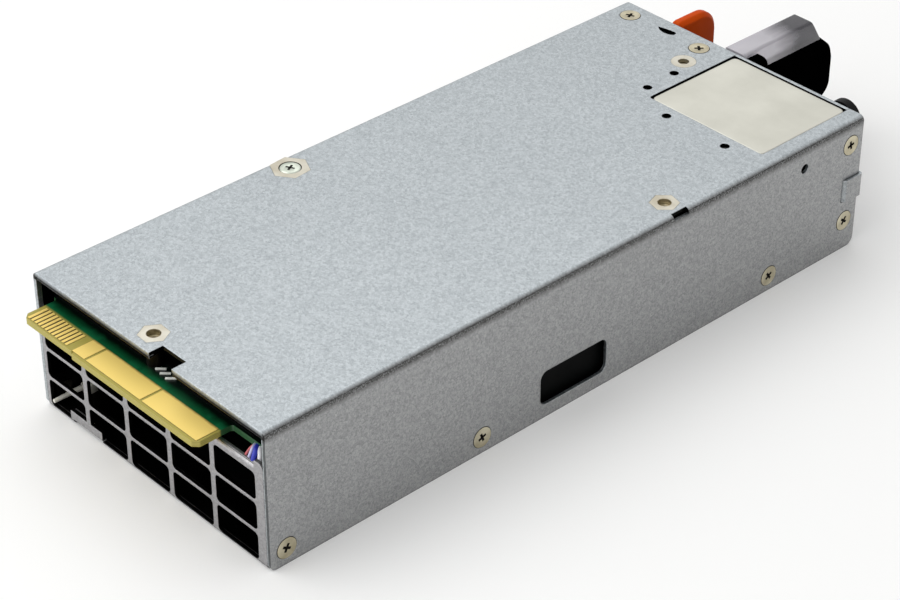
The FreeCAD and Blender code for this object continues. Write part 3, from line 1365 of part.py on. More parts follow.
def make_handle_screws():
    """Pan-head screws that hold the handle from inside the rear panel."""
    pieces = []
    for place in handle_screw_places():
        head = rod(place.sub(V(0, PAN_HEAD_HEIGHT, 0)), place, HANDLE_SCREW_HEAD)
        shank = rod(place.sub(V(0, PAN_HEAD_HEIGHT / 2, 0)), place.add(V(0, HANDLE_SCREW_LENGTH, 0)),
                    SCREW_SHANK_RADIUS)
        pieces.append(head.fuse(shank).removeSplitter())
    return group(pieces)


def make_strap_post():
    """Round post with a wide head, for the mains cord's strap."""
    x = from_right(POST_FROM_RIGHT)
    stem = rod(V(x, REAR, POST_HEIGHT), V(x, REAR + POST_STEM_LENGTH, POST_HEIGHT), POST_STEM_RADIUS)
    root = rod(V(x, PANEL_FRONT, POST_HEIGHT), V(x, REAR, POST_HEIGHT), POST_STEM_RADIUS - 1)
    head = rod(V(x, REAR + POST_STEM_LENGTH, POST_HEIGHT),
               V(x, REAR + POST_STEM_LENGTH + POST_HEAD_LENGTH, POST_HEIGHT), POST_HEAD_RADIUS)
    end = REAR + POST_STEM_LENGTH + POST_HEAD_LENGTH
    head = head.makeChamfer(POST_EDGE, [edge for edge in head.Edges if edge.BoundBox.YMin > end - 1e-3])
    return join([root, stem, head])


# ---------------------------------------------------------------- liner, rod and wires

def liner_side():
    """Row X of the liner's outer face at the right flange."""
    return INNER_RIGHT - NEST_GAP - SHEET - NEST_GAP


def make_insulating_liner():
    """Thin liner folded over the base cover's plate and flanges."""
    left = INNER_LEFT + NEST_GAP + SHEET + NEST_GAP
    right = liner_side()
    floor = SHEET + NEST_GAP
    top = BOARD_BOTTOM - LINER_TOP_GAP
    t = LINER_THICKNESS
    fold = [(left, top), (left, floor), (right, floor), (right, top),
            (right - t, top), (right - t, floor + t), (left + t, floor + t), (left + t, top)]
    rear = fan_front() - LINER_FAN_GAP
    liner = prism_y(fold, [0, 1.0, 1.0, 0, 0, 1.0 - t, 1.0 - t, 0], from_front(LINER_FROM_FRONT), rear)
    tools = [box(left - 1, left + t + 1, pivot(0).y - 7, max(rear, pivot(0).y) + 1,
                 LEVER_BOTTOM - 5, CASE_HEIGHT)]
    for side in (-1, 1):
        for mouth, inward in wall_screw_places(side):
            tools.append(Part.makeCylinder(SCREW_SHANK_RADIUS + 4 * SCREW_HOLE_GAP, SCREW_LENGTH + 2,
                                           mouth, inward))
    return cut_all(liner, tools)


def make_guide_rod():
    """Thin rod low behind the grille, held by a clip on the base."""
    x = from_left(ROD_FROM_LEFT)
    y0 = from_front(ROD_START)
    bar = rod(V(x, y0, ROD_CENTRE_HEIGHT), V(x, y0 + ROD_LENGTH, ROD_CENTRE_HEIGHT), ROD_RADIUS)
    y1 = from_front(LINER_FROM_FRONT) - 0.4
    clip = box(x - ROD_RADIUS, x + ROD_RADIUS + 1.2, y1 - ROD_CLIP_LENGTH, y1, SHEET,
               ROD_CENTRE_HEIGHT + ROD_RADIUS)
    trimmed = bar.common(box(x - 5, x + 5, FRONT, y1, 0, 10))
    return trimmed.fuse(clip).removeSplitter()


def front_wire_places():
    """Row X of each front lead, from the right wall inwards."""
    last = INNER_RIGHT - FRONT_WIRE_WALL_GAP
    return [last - index * FRONT_WIRE_PITCH for index in range(FRONT_WIRE_COUNT)]


def make_front_wires():
    """Thin leads that loop over the board's front edge into the plug under it."""
    shoulder = from_front(BOARD_SETBACK)
    top_y = shoulder + WIRE_BOARD_INSET
    crest = BOARD_TOP + WIRE_RISE
    front = (shoulder + FRONT + GRILLE_RETURN) / 2
    floor = BOARD_BOTTOM - PLUG_HEIGHT / 2
    cut = WIRE_RISE / 2
    route = [(top_y, BOARD_TOP), (top_y, crest - cut), (top_y - cut, crest), (front + cut, crest),
             (front, crest - cut), (front, floor + cut), (front + cut, floor), (top_y, floor)]
    pieces = []
    for x in front_wire_places():
        path = Part.makePolygon([V(x, y, z) for y, z in route])
        ring = []
        for turn in range(8):
            angle = turn * math.pi / 4
            ring.append(V(x + WIRE_RADIUS * math.cos(angle), top_y + WIRE_RADIUS * math.sin(angle),
                          BOARD_TOP))
        section = Part.makePolygon(ring + [ring[0]])
        pieces.append(path.makePipeShell([section], True, False, 1))
    return group(pieces)


def make_front_plug():
    """Plug under the board that takes the front leads."""
    y0 = from_front(BOARD_SETBACK) + WIRE_BOARD_INSET
    places = front_wire_places()
    x0 = places[-1] - FRONT_WIRE_PITCH
    x1 = places[0] + WIRE_RADIUS + 0.5
    plug = box(x0, x1, y0, y0 + PLUG_LENGTH, BOARD_BOTTOM - PLUG_HEIGHT, BOARD_BOTTOM)
    rib = box(x0 + 1, x1 - 1, y0 + 1, y0 + PLUG_LENGTH - 1, BOARD_BOTTOM - PLUG_HEIGHT - PLUG_RIB,
              BOARD_BOTTOM - PLUG_HEIGHT)
    return plug.fuse(rib).removeSplitter()


# ---------------------------------------------------------------- parts under the board

def hang(height):
    """Lower end of a part of this height that hangs under the board."""
    return BOARD_BOTTOM - height


def chamfer_low(shape, size):
    """Shape with its lowest edges chamfered."""
    low = shape.BoundBox.ZMin
    return shape.makeChamfer(size, [edge for edge in shape.Edges if edge.BoundBox.ZMax < low + 1e-3])


def liner_face():
    """Row X of the liner's inner face at the right, from which the right-hand parts are set."""
    return liner_side() - LINER_THICKNESS


def pfc_centre():
    """Centre of the large wound ring, in front of the board's rear edge."""
    return (liner_face() - PFC_CHOKE_WALL_GAP - PFC_CHOKE_RADIUS,
            board_rear() - PFC_CHOKE_END_GAP - PFC_CHOKE_RADIUS)


def bulk_centres():
    """Row X of each bulk capacitor's axis, beside the large wound ring."""
    last = pfc_centre()[0] - PFC_CHOKE_RADIUS - BULK_CHOKE_GAP - BULK_RADIUS
    return [last - index * (2 * BULK_RADIUS + BULK_SPACING) for index in range(BULK_COUNT)]


def make_bulk_capacitors():
    """Lying bulk capacitors with a rolled groove and their leads."""
    pieces = []
    front = from_front(BULK_FROM_FRONT)
    length = board_rear() - BULK_END_GAP - front
    dent = BULK_RADIUS - BULK_GROOVE
    for x in bulk_centres():
        centre = V(x, front, hang(PART_GAP) - BULK_RADIUS)
        corners = [(0, 0), (BULK_RADIUS - PART_CHAMFER, 0), (BULK_RADIUS, PART_CHAMFER),
                   (BULK_RADIUS, BULK_GROOVE_PLACE - BULK_GROOVE), (dent, BULK_GROOVE_PLACE),
                   (BULK_RADIUS, BULK_GROOVE_PLACE + BULK_GROOVE), (BULK_RADIUS, length - PART_CHAMFER),
                   (BULK_RADIUS - PART_CHAMFER, length), (0, length)]
        wire = Part.makePolygon([centre.add(V(r, along, 0)) for r, along in corners + corners[:1]])
        can = Part.Face(wire).revolve(centre, V(0, 1, 0), 360)
        leads = []
        for dx in (-BULK_LEAD_SPREAD, BULK_LEAD_SPREAD):
            foot = V(centre.x + dx, centre.y - BULK_LEAD_RADIUS / 2, centre.z)
            leads.append(rod(foot, V(foot.x, foot.y, BOARD_BOTTOM), BULK_LEAD_RADIUS))
        pieces.append(join([can] + leads))
    return group(pieces)


def toroid(x, y, radius, wire, height):
    """Wound ring lying under the board, with chamfered rims."""
    top = hang(PART_GAP)
    c = min(wire, height) * 0.3
    corners = [(radius - wire + c, top), (radius - c, top), (radius, top - c), (radius, top - height + c),
               (radius - c, top - height), (radius - wire + c, top - height),
               (radius - wire, top - height + c), (radius - wire, top - c)]
    wire_loop = Part.makePolygon([V(x + r, y, z) for r, z in corners + corners[:1]])
    return Part.Face(wire_loop).revolve(V(x, y, 0), V(0, 0, 1), 360)


def make_pfc_choke():
    """Large wound ring of the power factor stage."""
    x, y = pfc_centre()
    return toroid(x, y, PFC_CHOKE_RADIUS, PFC_CHOKE_WIRE, PFC_CHOKE_HEIGHT)


def make_line_choke():
    """Small wound ring of the line filter."""
    y = board_rear() - LINE_CHOKE_END_GAP - LINE_CHOKE_RADIUS
    return toroid(from_right(LINE_CHOKE_FROM_RIGHT), y, LINE_CHOKE_RADIUS, LINE_CHOKE_WIRE, LINE_CHOKE_HEIGHT)


def make_output_inductor():
    """Wound ring of the output stage."""
    return toroid(from_left(INDUCTOR_PLACE[0]), from_front(INDUCTOR_PLACE[1]), INDUCTOR_RADIUS, INDUCTOR_WIRE,
                  INDUCTOR_HEIGHT)


def hung_box(x0, y0, size):
    """Box that hangs under the board from its low corner."""
    return box(x0, x0 + size[0], y0, y0 + size[1], hang(size[2]), BOARD_BOTTOM)


def make_bridge_rectifier():
    """Upright bridge rectifier with one cut corner."""
    x0 = liner_face() - BRIDGE_WALL_GAP - BRIDGE_SIZE[0]
    body = hung_box(x0, board_rear() - BRIDGE_END_GAP - BRIDGE_SIZE[1], BRIDGE_SIZE)
    low = [edge for edge in body.Edges if edge.BoundBox.YLength > 1
           and edge.BoundBox.ZMax < hang(BRIDGE_SIZE[2]) + 0.1 and edge.BoundBox.XMax < x0 + 0.1]
    return body.makeChamfer(BRIDGE_CORNER, low)


def make_fuse():
    """Cartridge fuse in its two clips."""
    x = from_left(FUSE_PLACE[0])
    y = from_front(FUSE_PLACE[1])
    z = hang(1.0) - FUSE_RADIUS
    cap = FUSE_CAP_LENGTH
    pieces = [rod(V(x, y, z), V(x + FUSE_LENGTH, y, z), FUSE_RADIUS - 0.3)]
    for start in (0, FUSE_LENGTH - cap):
        pieces.append(rod(V(x + start, y, z), V(x + start + cap, y, z), FUSE_RADIUS))
        pieces.append(box(x + start + 0.3 * cap, x + start + 0.7 * cap,
                          y - FUSE_RADIUS / 2, y + FUSE_RADIUS / 2, z + 1, BOARD_BOTTOM))
    return join(pieces)


def resonant_left():
    """Row X of the boxed choke's left face."""
    return liner_face() - RESONANT_WALL_GAP - RESONANT_SIZE[0]


def core_corner():
    """Low corner of the transformer's core in plan."""
    return resonant_left() - CORE_RESONANT_GAP - CORE_SIZE[0], from_front(CORE_FROM_FRONT)


def core_bottom():
    """Lower face of the transformer's core."""
    return hang(CORE_SIZE[2]) - CORE_TOP_GAP


def make_transformer_core():
    """Ferrite core: end yokes, outer legs and a centre leg."""
    x0, y0 = core_corner()
    block = box(x0, x0 + CORE_SIZE[0], y0, y0 + CORE_SIZE[1], core_bottom(), BOARD_BOTTOM - CORE_TOP_GAP)
    limb = CORE_LIMB
    window = CORE_SIZE[0] / 2 - limb
    tools = []
    for start in (limb / 2, limb / 2 + window + limb):
        tools.append(box(x0 + start, x0 + start + window, y0 + limb / 2, y0 + CORE_SIZE[1] - limb / 2,
                         0, BOARD_BOTTOM))
    return cut_all(block, tools)


def make_transformer_winding():
    """Taped winding round the core's centre leg, with its former's feet."""
    inset = CORE_LIMB / 2 + PART_GAP
    x0, y0 = core_corner()
    coil = prism_z(rectangle(x0 + inset, x0 + CORE_SIZE[0] - inset, y0 + inset, y0 + CORE_SIZE[1] - inset),
                   CORE_LIMB / 2, core_bottom() - WINDING_PROUD, BOARD_BOTTOM)
    middle = x0 + CORE_SIZE[0] / 2
    leg = box(middle - inset, middle + inset, y0, y0 + CORE_SIZE[1], core_bottom() - PART_GAP,
              BOARD_BOTTOM - CORE_TOP_GAP + PART_GAP)
    return coil.cut(leg)


def make_resonant_choke():
    """Boxed choke beside the transformer."""
    body = hung_box(resonant_left(), from_front(RESONANT_FROM_FRONT), RESONANT_SIZE)
    upright = [edge for edge in body.Edges if edge.BoundBox.ZLength > RESONANT_SIZE[2] - 1]
    return body.makeFillet(1.5, upright)


def make_primary_heat_sink():
    """Extruded heat sink with fins, upright under the board."""
    x0 = from_left(SINK_PLACE[0])
    y0 = from_front(SINK_PLACE[1])
    low = hang(SINK_HEIGHT)
    pieces = [box(x0, x0 + SINK_BACK, y0, y0 + SINK_LENGTH, low, BOARD_BOTTOM)]
    pitch = (SINK_HEIGHT - SINK_FIN_THICKNESS) / (SINK_FINS - 1)
    for index in range(SINK_FINS):
        z = low + index * pitch
        pieces.append(box(x0 + SINK_BACK - 0.5, x0 + SINK_BACK + SINK_FIN_DEPTH, y0, y0 + SINK_LENGTH, z,
                          z + SINK_FIN_THICKNESS))
    return join(pieces)


def make_power_transistors():
    """Flat transistors on the heat sink's back, with leads into the board."""
    pieces = []
    dx, dy, dz = TRANSISTOR_SIZE
    x1 = from_left(SINK_PLACE[0])
    top = hang(TRANSISTOR_LEAD_LENGTH)
    half = TRANSISTOR_LEAD / 2
    pitch = SINK_LENGTH / TRANSISTOR_COUNT
    for index in range(TRANSISTOR_COUNT):
        y0 = from_front(SINK_PLACE[1]) + (index + 0.5) * pitch - dy / 2
        body = box(x1 - dx, x1, y0, y0 + dy, top - dz, top)
        leads = []
        for step in (0.25, 0.5, 0.75):
            leads.append(rod(V(x1 - dx / 2, y0 + dy * step, top - half),
                             V(x1 - dx / 2, y0 + dy * step, BOARD_BOTTOM), half))
        pieces.append(join([body] + leads))
    return group(pieces)


def make_control_board():
    """Small upright board with two chips."""
    x0 = core_corner()[0] + CORE_SIZE[0] + CONTROL_CORE_GAP
    y0 = from_front(CONTROL_FROM_FRONT)
    low = hang(CONTROL_HEIGHT)
    board = box(x0, x0 + CONTROL_THICKNESS, y0, y0 + CONTROL_LENGTH, low, BOARD_BOTTOM)
    chips = []
    for start in CHIP_PLACES:
        chips.append(box(x0 + CONTROL_THICKNESS, x0 + CONTROL_THICKNESS + CHIP_THICKNESS, y0 + start,
                         y0 + start + CHIP_SIZE, low + CHIP_SIZE / 2, low + CHIP_SIZE * 1.5))
    return join([board] + chips)


def make_output_capacitors():
    """Rows of upright output capacitors."""
    pieces = []
    for column in range(OUTPUT_CAP_COLUMNS):
        for row in range(OUTPUT_CAP_ROWS):
            x = from_left(OUTPUT_CAP_FIRST[0] + column * OUTPUT_CAP_PITCH)
            y = from_front(OUTPUT_CAP_FIRST[1] + row * OUTPUT_CAP_PITCH)
            can = rod(V(x, y, hang(OUTPUT_CAP_LENGTH)), V(x, y, BOARD_BOTTOM), OUTPUT_CAP_RADIUS)
            pieces.append(chamfer_low(can, PART_CHAMFER))
    return group(pieces)


def make_rectifier_heat_sinks():
    """Bent plates that cool the output rectifiers."""
    pieces = []
    for x in RECTIFIER_PLACES:
        x0 = from_left(x)
        y0 = from_front(RECTIFIER_FROM_FRONT)
        t = RECTIFIER_THICKNESS
        low = hang(RECTIFIER_HEIGHT)
        x1 = x0 + RECTIFIER_WIDTH
        bend = [(x0, BOARD_BOTTOM), (x0, low), (x1, low), (x1, low + t), (x0 + t, low + t),
                (x0 + t, BOARD_BOTTOM)]
        pieces.append(prism_y(bend, [0, 2.0, 0, 0, 0.2, 0], y0, y0 + RECTIFIER_LENGTH))
    return group(pieces)


def make_front_block():
    """Boxed part behind the right end of the grille."""
    body = hung_box(from_right(BLOCK_FROM_RIGHT) - BLOCK_SIZE[0], from_front(BLOCK_FROM_FRONT), BLOCK_SIZE)
    upright = [edge for edge in body.Edges if edge.BoundBox.ZLength > BLOCK_SIZE[2] - 1]
    return body.makeFillet(0.8, upright)


NODES = {
    "chassis": make_chassis,
    "base_cover": make_base_cover,
    "rear_panel": make_rear_panel,
    "side_screws": make_side_screws,
    "top_screws": make_top_screws,
    "hex_standoffs": make_hex_standoffs,
    "standoff_screw": make_standoff_screw,
    "board_screws": make_board_screws,
    "round_insert": make_round_insert,
    "main_board": make_main_board,
    "signal_contacts": make_signal_contacts,
    "power_contacts": make_power_contacts,
    "ac_inlet": make_ac_inlet,
    "inlet_blades": make_inlet_blades,
    "inlet_filter_can": make_inlet_filter_can,
    "fan_frame": make_fan_frame,
    "fan_rotor": make_fan_rotor,
    "fan_bracket": make_fan_bracket,
    "fan_screws": make_fan_screws,
    "fan_leads": make_fan_leads,
    "fan_plug": make_fan_plug,
    "latch_lever": make_latch_lever,
    "latch_tab": make_latch_tab,
    "latch_mount": make_latch_mount,
    "latch_pin": make_latch_pin,
    "latch_spring": make_latch_spring,
    "handle": make_handle,
    "handle_light_guide": make_handle_light_guide,
    "handle_screws": make_handle_screws,
    "status_light": make_status_light,
    "strap_post": make_strap_post,
    "insulating_liner": make_insulating_liner,
    "guide_rod": make_guide_rod,
    "front_wires": make_front_wires,
    "front_plug": make_front_plug,
    "bulk_capacitors": make_bulk_capacitors,
    "pfc_choke": make_pfc_choke,
    "line_choke": make_line_choke,
    "output_inductor": make_output_inductor,
    "bridge_rectifier": make_bridge_rectifier,
    "fuse": make_fuse,
    "transformer_core": make_transformer_core,
    "transformer_winding": make_transformer_winding,
    "resonant_choke": make_resonant_choke,
    "primary_heat_sink": make_primary_heat_sink,
    "power_transistors": make_power_transistors,
    "control_board": make_control_board,
    "output_capacitors": make_output_capacitors,
    "rectifier_heat_sinks": make_rectifier_heat_sinks,
    "front_block": make_front_block,
}


def main():
    """Build and write every node."""
    os.makedirs("parts", exist_ok=True)
    for node, make in NODES.items():
        save(make(), node)


if __name__ == "__main__":
    main()
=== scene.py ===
"""Hot swap server power supply: finishes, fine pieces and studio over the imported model."""

import json
import logging
import math
from contextlib import contextmanager
from dataclasses import dataclass, field
from enum import Enum
from functools import cached_property
from typing import Callable, Iterator, Optional, Sequence, Union

import bmesh
import bpy
from bpy.types import Material, Node, NodeSocket, NodeTree, Object
from mathutils import Matrix, Vector

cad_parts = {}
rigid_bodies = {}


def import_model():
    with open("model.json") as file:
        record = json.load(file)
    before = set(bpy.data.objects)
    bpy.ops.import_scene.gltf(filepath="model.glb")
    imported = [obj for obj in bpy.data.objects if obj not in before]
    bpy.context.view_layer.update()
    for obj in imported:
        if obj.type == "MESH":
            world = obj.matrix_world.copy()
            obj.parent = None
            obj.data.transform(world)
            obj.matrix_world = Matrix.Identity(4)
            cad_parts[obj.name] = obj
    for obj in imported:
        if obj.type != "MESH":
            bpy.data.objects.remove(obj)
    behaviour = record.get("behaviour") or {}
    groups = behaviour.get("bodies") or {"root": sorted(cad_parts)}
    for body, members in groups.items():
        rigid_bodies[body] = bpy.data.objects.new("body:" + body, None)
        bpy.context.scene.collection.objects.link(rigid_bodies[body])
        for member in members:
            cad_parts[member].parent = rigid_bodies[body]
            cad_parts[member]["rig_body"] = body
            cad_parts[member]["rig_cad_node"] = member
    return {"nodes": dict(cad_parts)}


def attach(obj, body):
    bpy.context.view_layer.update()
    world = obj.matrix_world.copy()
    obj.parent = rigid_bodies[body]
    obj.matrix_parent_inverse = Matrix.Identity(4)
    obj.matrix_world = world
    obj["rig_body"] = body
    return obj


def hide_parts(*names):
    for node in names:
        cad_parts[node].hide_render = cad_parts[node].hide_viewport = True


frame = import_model()

LOG = logging.getLogger("power_supply")
MM = 0.001
# A place, or some sizes that belong together.
Placing = tuple[float, ...]
Box = tuple[Placing, Placing]
Value = Union[str, Node, NodeSocket]
# Lowest colour, masks and colours of the coats over it, wear and height.
Surface = tuple[Value, Sequence[tuple[Value, Value]], Value, Value]
UP, DOWN, BACK = Vector((0, 0, 1)), Vector((0, 0, -1)), Vector((0, 1, 0))
# Faces count as looking along an axis when the cosine between the two is larger.
ALONG = 0.9
SMOOTH_ANGLE = 35.0
# Points nearer than this are merged, and faces that bend less, in degrees, are made one.
SAME_PLACE = 0.002 * MM
SAME_PLANE = 0.5
NOOK_SAMPLES = 6
EDGE_SAMPLES = 4


def mm(*sizes: float) -> Placing:
    """Turn sizes or places in millimetres into metres."""
    return tuple(size * MM for size in sizes)


# X and Y of the threaded inserts in the roof.
FRONT_STANDOFF = mm(-3.3, -94.5)
RIGHT_STANDOFF = mm(36.9, 31.5)
SCREWED_STANDOFF = mm(-37.8, -25.6)
ROUND_INSERT = mm(-8.4, 86.6)


class Body(Enum):
    """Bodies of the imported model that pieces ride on."""

    CASE = "case"
    LATCH = "latch"


class Facing(Enum):
    """Direction that a screw head looks, as the turn from straight up."""

    UP = 0.0
    RIGHT = math.pi / 2
    LEFT = -math.pi / 2


# --- small helpers


def srgb(code: str) -> tuple[float, float, float, float]:
    """Turn an sRGB hex colour into the linear colour that shaders take.

    Args:
        code: Six hex digits, such as "c3cbd0".

    Returns:
        Linear red, green, blue and an alpha of 1.
    """
    parts = (int(code[i:i + 2], 16) / 255 for i in (0, 2, 4))
    red, green, blue = (p / 12.92 if p <= 0.04045 else ((p + 0.055) / 1.055) ** 2.4 for p in parts)
    return red, green, blue, 1.0


class Graph:
    """Node tree of a material or of the surroundings, built up from nothing."""

    def __init__(self, tree: NodeTree) -> None:
        """Empty the tree and give it its coordinates.

        Args:
            tree: Node tree to fill.
        """
        tree.nodes.clear()
        self.tree = tree
        self.coordinates = self.add("TexCoord").outputs
        self.place = self.coordinates["Object"]

    def add(self, kind: str, links: Union[dict, Sequence] = (), **settings: object) -> Node:
        """Add a shader node with its settings and links.

        Args:
            kind: Type name of the node without "ShaderNode", and behind a dot what a maths node works out.
            links: What goes into its inputs, by name or index, or in their order. A node gives its first
                output in use, a socket itself, a text is a hex colour, and the rest are constants. A
                MapRange takes its value, the range it comes from and the range it is turned to.
            settings: Properties of the node.

        Returns:
            The new node.
        """
        kind, _, operation = kind.partition(".")
        node = self.tree.nodes.new("ShaderNode" + kind)
        if operation:
            node.operation = operation
        for name, value in settings.items():
            setattr(node, name, value)
        for name, value in links.items() if isinstance(links, dict) else enumerate(links):
            if isinstance(value, Node):
                value = next(output for output in value.outputs if output.enabled)
            if isinstance(value, NodeSocket):
                self.tree.links.new(value, node.inputs[name])
            else:
                node.inputs[name].default_value = srgb(value) if isinstance(value, str) else value
        return node

    def pattern(self, size_mm: float, **others: object) -> dict:
        """Inputs of a pattern over the piece whose features are this many millimetres across."""
        return {"Vector": self.place, "Scale": 1.0 / (size_mm * MM), **others}

    @cached_property
    def axes(self) -> Sequence[NodeSocket]:
        """X, Y and Z of the place."""
        return self.add("SeparateXYZ", (self.place,)).outputs

    @cached_property
    def facing(self) -> Sequence[NodeSocket]:
        """X, Y and Z of the face's true normal."""
        return self.add("SeparateXYZ", (self.add("NewGeometry").outputs["True Normal"],)).outputs

    def inside(self, box: Box) -> Node:
        """Mask that is 1 inside a box and 0 outside it.

        Args:
            box: Its middle, and half of its size along each axis.

        Returns:
            The mask.
        """
        centre, half = box
        centred = self.add("VectorMath.SUBTRACT", (self.place, centre))
        away = self.add("VectorMath.ABSOLUTE", (centred,))
        room = self.add("VectorMath.SUBTRACT", (away, half))
        x, y, z = self.add("SeparateXYZ", (room,)).outputs
        widest = self.add("Math.MAXIMUM", (x, y))
        nearest = self.add("Math.MAXIMUM", (widest, z))
        return self.add("Math.LESS_THAN", (nearest, 0.0))

    def not_diffuse(self) -> Node:
        """Mask that is 1 for rays from the camera, a mirror or a clear piece, and 0 for stray light."""
        rays = self.add("LightPath").outputs
        mirrored = self.add("Math.MAXIMUM", (rays["Is Glossy Ray"], rays["Is Transmission Ray"]))
        return self.add("Math.MAXIMUM", (rays["Is Camera Ray"], mirrored))


def select_only(piece: Object) -> None:
    """Deselect everything else and make this piece the active one."""
    bpy.ops.object.select_all(action="DESELECT")
    piece.select_set(True)
    bpy.context.view_layer.objects.active = piece


@contextmanager
def editing(piece: Object, mode: str = "FACE") -> Iterator[None]:
    """Work on a piece in edit mode.

    Args:
        piece: Mesh object to edit.
        mode: Select mode, "FACE", "EDGE" or "VERT".

    Yields:
        Nothing; edit mode ends when the block does.
    """
    select_only(piece)
    bpy.ops.object.mode_set(mode="EDIT")
    bpy.ops.mesh.select_mode(type=mode)
    yield
    bpy.ops.object.mode_set(mode="OBJECT")


def new_mesh(shape: str, name: str, middle: Sequence[float], stretch: Sequence[float] = (1.0, 1.0, 1.0),
             **options: object) -> Object:
    """Add a primitive as a new piece, with its place and size baked into the mesh.

    Args:
        shape: "cube", "cylinder" or "cone".
        name: Name of the piece.
        middle: Where its middle stands.
        stretch: Scale along its own axes.
        options: Settings of the primitive.

    Returns:
        The new piece.
    """
    bpy.ops.object.select_all(action="DESELECT")
    getattr(bpy.ops.mesh, f"primitive_{shape}_add")(location=middle, **options)
    piece = bpy.context.active_object
    piece.name = name
    piece.scale = stretch
    bpy.ops.object.transform_apply(location=True, rotation=True, scale=True)
    return piece


def pick_faces(piece: Object, test: Callable[[Vector, Vector], bool]) -> None:
    """Select the faces of the mesh in edit mode that pass a test.

    Args:
        piece: Mesh object in edit mode.
        test: Takes a face's centre and normal.
    """
    mesh = bmesh.from_edit_mesh(piece.data)
    for face in mesh.faces:
        face.select_set(False)
    for face in mesh.faces:
        if test(face.calc_center_median(), face.normal):
            face.select_set(True)
    bmesh.update_edit_mesh(piece.data)


def pick_side(piece: Object, side: Vector) -> None:
    """Select the faces of the mesh in edit mode that look along an axis."""
    pick_faces(piece, lambda centre, normal: normal.dot(side) > ALONG)


def pick_points(piece: Object, test: Callable[[Vector], bool]) -> None:
    """Select the points of the mesh in edit mode whose place passes a test."""
    mesh = bmesh.from_edit_mesh(piece.data)
    for vertex in mesh.verts:
        vertex.select_set(test(vertex.co))
    bmesh.update_edit_mesh(piece.data)


def extrude(way: Vector) -> None:
    """Draw the selected faces out of the mesh in edit mode."""
    bpy.ops.mesh.extrude_region_move(TRANSFORM_OT_translate={"value": way})


def resize(x: float, y: float, z: float, around: Placing = (0.0, 0.0, 0.0)) -> None:
    """Scale what is selected in edit mode along each axis, around a point."""
    bpy.ops.transform.resize(value=(x, y, z), center_override=around)


def apply_modifiers(piece: Object) -> None:
    """Apply every modifier of a piece in order."""
    select_only(piece)
    for modifier in list(piece.modifiers):
        bpy.ops.object.modifier_apply(modifier=modifier.name)


def cut_with(piece: Object, cutter: Object) -> None:
    """Cut one mesh out of another and remove the cutter.

    Args:
        piece: Mesh that is cut.
        cutter: Closed mesh that is taken away.
    """
    cut = piece.modifiers.new("cut", "BOOLEAN")
    cut.operation = "DIFFERENCE"
    cut.solver = "EXACT"
    cut.object = cutter
    apply_modifiers(piece)
    bpy.data.objects.remove(cutter, do_unlink=True)


def soften(piece: Object, width_mm: float, segments: int = 2, angle: float = SMOOTH_ANGLE) -> None:
    """Round the sharp edges of a mesh a little and shade it smooth between them.

    Args:
        piece: Mesh object.
        width_mm: Width of the rounding.
        segments: Facets across the rounding.
        angle: Edges sharper than this many degrees are rounded.
    """
    bevel = piece.modifiers.new("soft edges", "BEVEL")
    bevel.width = width_mm * MM
    bevel.segments = segments
    bevel.limit_method = "ANGLE"
    bevel.angle_limit = math.radians(angle)
    bevel.use_clamp_overlap = True
    apply_modifiers(piece)
    bpy.ops.object.shade_smooth_by_angle(angle=math.radians(angle))


def own_copy(source: Object, name: str) -> Object:
    """Copy an object with its own mesh, and put it in the scene."""
    piece = source.copy()
    piece.data = source.data.copy()
    piece.name = name
    bpy.context.scene.collection.objects.link(piece)
    return piece


def copy_of_node(node: str, name: str) -> Object:
    """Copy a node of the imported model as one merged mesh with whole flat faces.

    Args:
        node: Name of the node.
        name: Name of the copy.

    Returns:
        The copy, with its own mesh.
    """
    piece = own_copy(frame["nodes"][node], name)
    piece.parent = None
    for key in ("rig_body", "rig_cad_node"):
        if key in piece:
            del piece[key]
    with editing(piece, "VERT"):
        bpy.ops.mesh.select_all(action="SELECT")
        bpy.ops.mesh.remove_doubles(threshold=SAME_PLACE)
        bpy.ops.mesh.customdata_custom_splitnormals_clear()
        bpy.ops.mesh.dissolve_limited(angle_limit=math.radians(SAME_PLANE))
    return piece


def placed_copy(template: Object, name: str, place: Placing, facing: Facing = Facing.UP,
                turn: float = 0.0) -> Object:
    """Copy a finished template, with its own mesh, to its place.

    Args:
        template: Object to copy.
        name: Name of the copy.
        place: Where its origin goes.
        facing: Which way its top looks.
        turn: Its turn around its own axis, in degrees.

    Returns:
        The copy, with its place and turn baked into the mesh.
    """
    piece = own_copy(template, name)
    piece.matrix_world = (Matrix.Translation(place) @ Matrix.Rotation(facing.value, 4, "Y")
                          @ Matrix.Rotation(math.radians(turn), 4, "Z"))
    select_only(piece)
    bpy.ops.object.transform_apply(location=True, rotation=True, scale=True)
    return piece


def paint(piece: Object, material: Material) -> None:
    """Give the whole piece one material."""
    if not piece.material_slots:
        piece.data.materials.append(material)
    for slot in piece.material_slots:
        slot.material = material


def finish_piece(piece: Object, body: Body, slot: str, material: Optional[Material],
                 *nodes: str) -> None:
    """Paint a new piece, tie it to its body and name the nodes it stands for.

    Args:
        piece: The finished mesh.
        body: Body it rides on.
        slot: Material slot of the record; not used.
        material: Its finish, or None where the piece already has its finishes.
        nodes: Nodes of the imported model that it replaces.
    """
    if material:
        paint(piece, material)
    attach(piece, body.value)
    if nodes:
        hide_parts(*nodes)
    LOG.info("%s: new piece on %s, for %s", piece.name, body.value, ", ".join(nodes) or "detail")


# --- finishes


